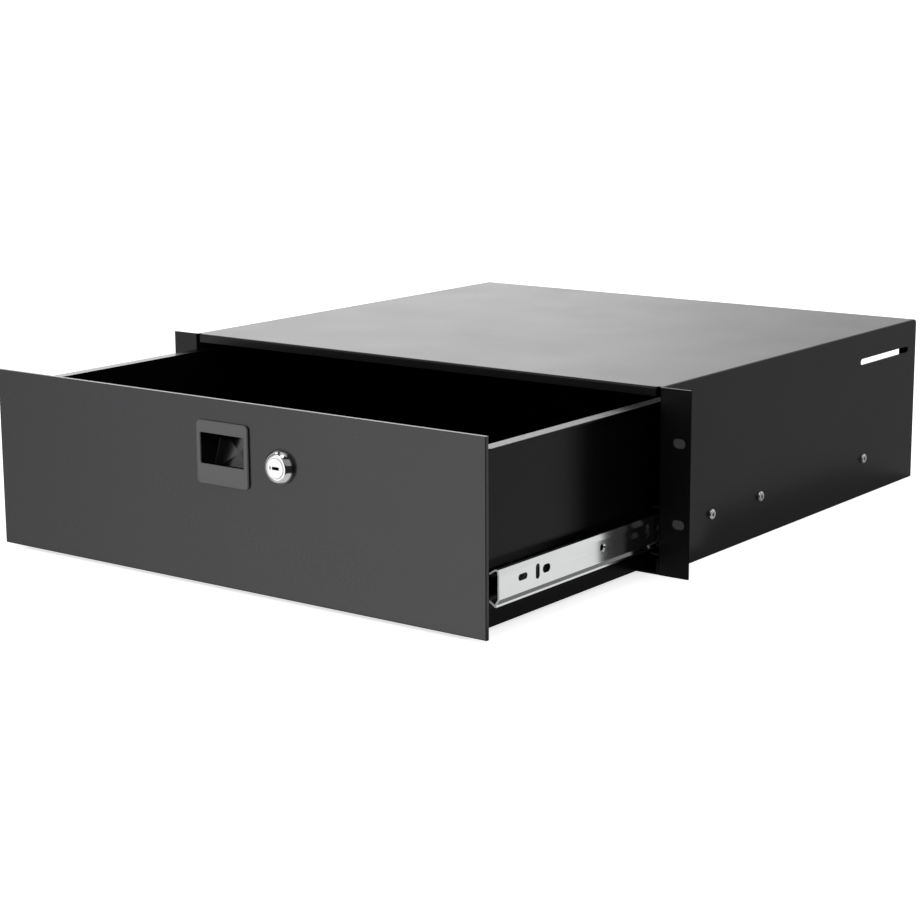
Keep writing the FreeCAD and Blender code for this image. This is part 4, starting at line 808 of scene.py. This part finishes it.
class RACK_OT_stage(bpy.types.Operator):
    """Makes the floor, the lights and the camera"""

    bl_idname = "rack.stage"
    bl_label = "Studio"

    def execute(self, context):
        settings = context.scene.rack_studio
        self.make_floor(settings)
        self.make_surroundings(settings)
        self.make_lights(settings)
        self.make_cards(settings)
        self.make_camera(settings)
        context.scene.view_settings.view_transform = "Standard"
        return {"FINISHED"}

    def make_sheet(self, name, corners, colour, glow, specular, roughness):
        """A flat sheet with a plain matte material that may glow."""
        material, tree, shader, place = new_material(name)
        shader.inputs["Base Color"].default_value = (*colour, 1.0)
        shader.inputs["Roughness"].default_value = roughness
        shader.inputs["Specular IOR Level"].default_value = specular
        shader.inputs["Emission Color"].default_value = (1.0, 1.0, 1.0, 1.0)
        shader.inputs["Emission Strength"].default_value = glow
        mesh = bpy.data.meshes.new(name)
        mesh.from_pydata(corners, [], [tuple(range(len(corners)))])
        mesh.materials.append(material)
        sheet = bpy.data.objects.new(name, mesh)
        bpy.context.collection.objects.link(sheet)
        return sheet

    def make_floor(self, settings):
        """A wide flat floor just under the object, left out of reflections and soft light."""
        reach, level = settings.floor_reach, cad_low.z - FLOOR_DROP
        corners = [(-reach, -reach, level), (reach, -reach, level), (reach, reach, level),
                   (-reach, reach, level)]
        floor = self.make_sheet("floor", corners, settings.floor_colour, settings.floor_glow, 0.1, 0.9)
        floor.visible_glossy = False
        floor.visible_diffuse = False
        floor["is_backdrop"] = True

    def make_surroundings(self, settings):
        """A pale room with a dark curtain behind, a dark wall to the right and a dim ceiling.

        The camera sees plain white, and so do the surfaces' soft shades, so that only reflections
        show the room.
        """
        world = bpy.data.worlds.new("room")
        world.use_nodes = True
        bpy.context.scene.world = world
        tree = world.node_tree
        back = tree.nodes["Background"]
        room = self.room_brightness(tree)
        rays = tree.nodes.new("ShaderNodeLightPath")
        plain = maths(tree, "MAXIMUM", rays.outputs["Is Camera Ray"], rays.outputs["Is Diffuse Ray"])
        seen = blended(tree, plain, room, PLAIN_WHITE)
        tree.links.new(maths(tree, "MULTIPLY", seen, settings.sky_strength), back.inputs["Strength"])
        back.inputs["Color"].default_value = (1.0, 1.0, 1.0, 1.0)

    def room_brightness(self, tree):
        """How bright the room is in a direction.

        Turn is the arc tangent of x over y, the angle to the right of straight back, and rise is
        the arc sine of z. The walls' brightness is a ramp over the turn; the floor, the screen, the
        upper walls, the ceiling and the skylight are soft steps in the rise; and a small lamp is a
        soft step in the cosine of the angle from its own direction.
        """
        way = tree.nodes.new("ShaderNodeTexCoord").outputs["Generated"]
        axes = add_node(tree, "SeparateXYZ", {"Vector": way})
        turn = maths(tree, "ARCTAN2", axes.outputs["X"], axes.outputs["Y"])
        rise = add_node(tree, "Math", {0: axes.outputs["Z"]}, operation="ARCSINE").outputs[0]

        def at_rise(degrees, low, high):
            start, finish = (math.radians(angle) for angle in degrees)
            return ranged(tree, rise, start, finish, low, high, "SMOOTHSTEP")

        room = self.wall_brightness(tree, turn)
        behind = ranged(tree, axes.outputs["Y"], *SCREEN_DEPTH, kind="SMOOTHSTEP")
        screen = maths(tree, "MULTIPLY", at_rise(SCREEN_RISE, 0.0, 1.0), behind)
        pale = maths(tree, "MAXIMUM", screen, at_rise(FLOOR_RISE, 1.0, 0.0))
        room = blended(tree, pale, room, SCREEN_AND_FLOOR)
        room = maths(tree, "MAXIMUM", room, at_rise(UPPER_RISE, 0.0, UPPER_WALLS))
        room = maths(tree, "MULTIPLY", room, at_rise(CEILING_RISE, 1.0, CEILING))
        room = maths(tree, "ADD", room, at_rise(SKYLIGHT_RISE, 0.0, SKYLIGHT))
        for place, reach, power in LAMPS:
            near = add_node(tree, "VectorMath", {0: way, 1: place}, operation="DOT_PRODUCT")
            start, finish = (math.cos(math.radians(reach + play)) for play in (LAMP_EDGE, -LAMP_EDGE))
            lamp = ranged(tree, near.outputs["Value"], start, finish, 0.0, power, "SMOOTHSTEP")
            room = maths(tree, "ADD", room, lamp)
        return room

    def wall_brightness(self, tree, turn):
        """The walls' brightness, a smooth ramp over the turn."""
        share = ranged(tree, turn, -math.pi, math.pi)
        walls = add_node(tree, "ValToRGB", {"Fac": share})
        ramp = walls.color_ramp
        ramp.interpolation = "EASE"
        for number, (degrees, brightness) in enumerate(WALLS):
            place = degrees / 360.0 + 0.5
            stop = ramp.elements[number] if number < 2 else ramp.elements.new(place)
            stop.position = place
            stop.color = (brightness / WALL_GAIN,) * 3 + (1.0,)
        return maths(tree, "MULTIPLY", walls.outputs["Color"], WALL_GAIN)

    def make_lights(self, settings):
        """One wide soft box above the front left, for the floor and the soft shades alone."""
        light = bpy.data.lights.new("key_above", "AREA")
        light.shape = "SQUARE"
        light.size = settings.key_size
        light.energy = settings.key_power
        lamp = bpy.data.objects.new("key_above", light)
        lamp.location = settings.key_place
        middle = (cad_low + cad_high) / 2
        lamp.rotation_euler = (lamp.location - middle).to_track_quat("Z", "Y").to_euler()
        lamp.visible_glossy = False
        bpy.context.collection.objects.link(lamp)

    def make_cards(self, settings):
        """Cards seen only in reflections.

        A dark grey strip stands behind the right ear and beside it, where the slide's bright web
        mirrors it:
        painted shadow for the floor's shade beside the case. A grey sheet lies under the object and a
        little to its right, so that the low surfaces see little light below: painted shadow for the
        floor's shade under the object.
        """
        low, high = cad_low, cad_high
        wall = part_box("base_plate")[1][0]
        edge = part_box("case_shell")[1][0] + settings.strip_width
        behind, level = settings.strip_behind, low.z - SHEET_DROP
        start, right = settings.sheet_start, high.x + settings.sheet_reach
        strip = [(wall, behind, low.z), (edge, behind, low.z), (edge, behind, high.z),
                 (wall, behind, high.z)]
        sheet = [(low.x, low.y, level), (high.x, low.y, level), (high.x, start, level),
                 (right, start * 2, level), (right, high.y, level), (low.x, high.y, level)]
        # Painted shadow: black cards that shiny surfaces mirror where the floor would be in shade
        black = (0.0, 0.0, 0.0)
        for name, corners, glow in (("shade_strip", strip, settings.strip_glow),
                                    ("shade_sheet", sheet, settings.sheet_glow)):
            card = self.make_sheet(name, corners, black, glow, 0.0, 0.5)
            for way in ("camera", "diffuse", "shadow", "transmission"):
                setattr(card, f"visible_{way}", False)
            card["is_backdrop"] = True

    def make_camera(self, settings):
        """Looks along a turn and a height, with a small roll."""
        turn, height, roll = settings.camera_turn, settings.camera_height, settings.camera_roll
        back = Vector((math.sin(turn) * math.cos(height), -math.cos(turn) * math.cos(height),
                       math.sin(height)))
        right = Vector((math.cos(turn), math.sin(turn), 0.0))
        top = back.cross(right)
        across = right * math.cos(roll) + top * math.sin(roll)
        upwards = top * math.cos(roll) - right * math.sin(roll)
        camera = bpy.data.objects.new("camera", bpy.data.cameras.new("camera"))
        camera.matrix_world = Matrix.Translation(settings.camera_place) @ Matrix(
            (across, upwards, back)
        ).transposed().to_4x4()
        camera.data.sensor_width = 36.0
        camera.data.lens = settings.lens
        bpy.context.collection.objects.link(camera)
        bpy.context.scene.camera = camera


class RACK_PT_panel(bpy.types.Panel):
    """Lists what the add-on makes"""

    bl_idname = "RACK_PT_panel"
    bl_label = "Rack Drawer"
    bl_space_type = "VIEW_3D"
    bl_region_type = "UI"
    bl_category = "Rack Drawer"

    def draw(self, context):
        layout = self.layout
        for settings in (context.scene.rack_paint, context.scene.rack_pull, context.scene.rack_lock,
                         context.scene.rack_studio):
            box = layout.box()
            for name in settings.bl_rna.properties.keys():
                if name not in ("rna_type", "name"):
                    box.prop(settings, name)
        for operator in OPERATORS:
            layout.operator(operator.bl_idname)


OPERATORS = (RACK_OT_finishes, RACK_OT_finger_pull, RACK_OT_lock, RACK_OT_stage)
CLASSES = (PaintSettings, PullSettings, LockSettings, StudioSettings, *OPERATORS, RACK_PT_panel)


def register():
    for made_class in CLASSES:
        bpy.utils.register_class(made_class)
    bpy.types.Scene.rack_paint = PointerProperty(type=PaintSettings)
    bpy.types.Scene.rack_pull = PointerProperty(type=PullSettings)
    bpy.types.Scene.rack_lock = PointerProperty(type=LockSettings)
    bpy.types.Scene.rack_studio = PointerProperty(type=StudioSettings)


def unregister():
    del bpy.types.Scene.rack_studio
    del bpy.types.Scene.rack_lock
    del bpy.types.Scene.rack_pull
    del bpy.types.Scene.rack_paint
    for made_class in reversed(CLASSES):
        bpy.utils.unregister_class(made_class)


def main():
    register()
    for operator in OPERATORS:
        area, name = operator.bl_idname.split(".")
        getattr(getattr(bpy.ops, area), name)()


if __name__ == "__main__":
    main()
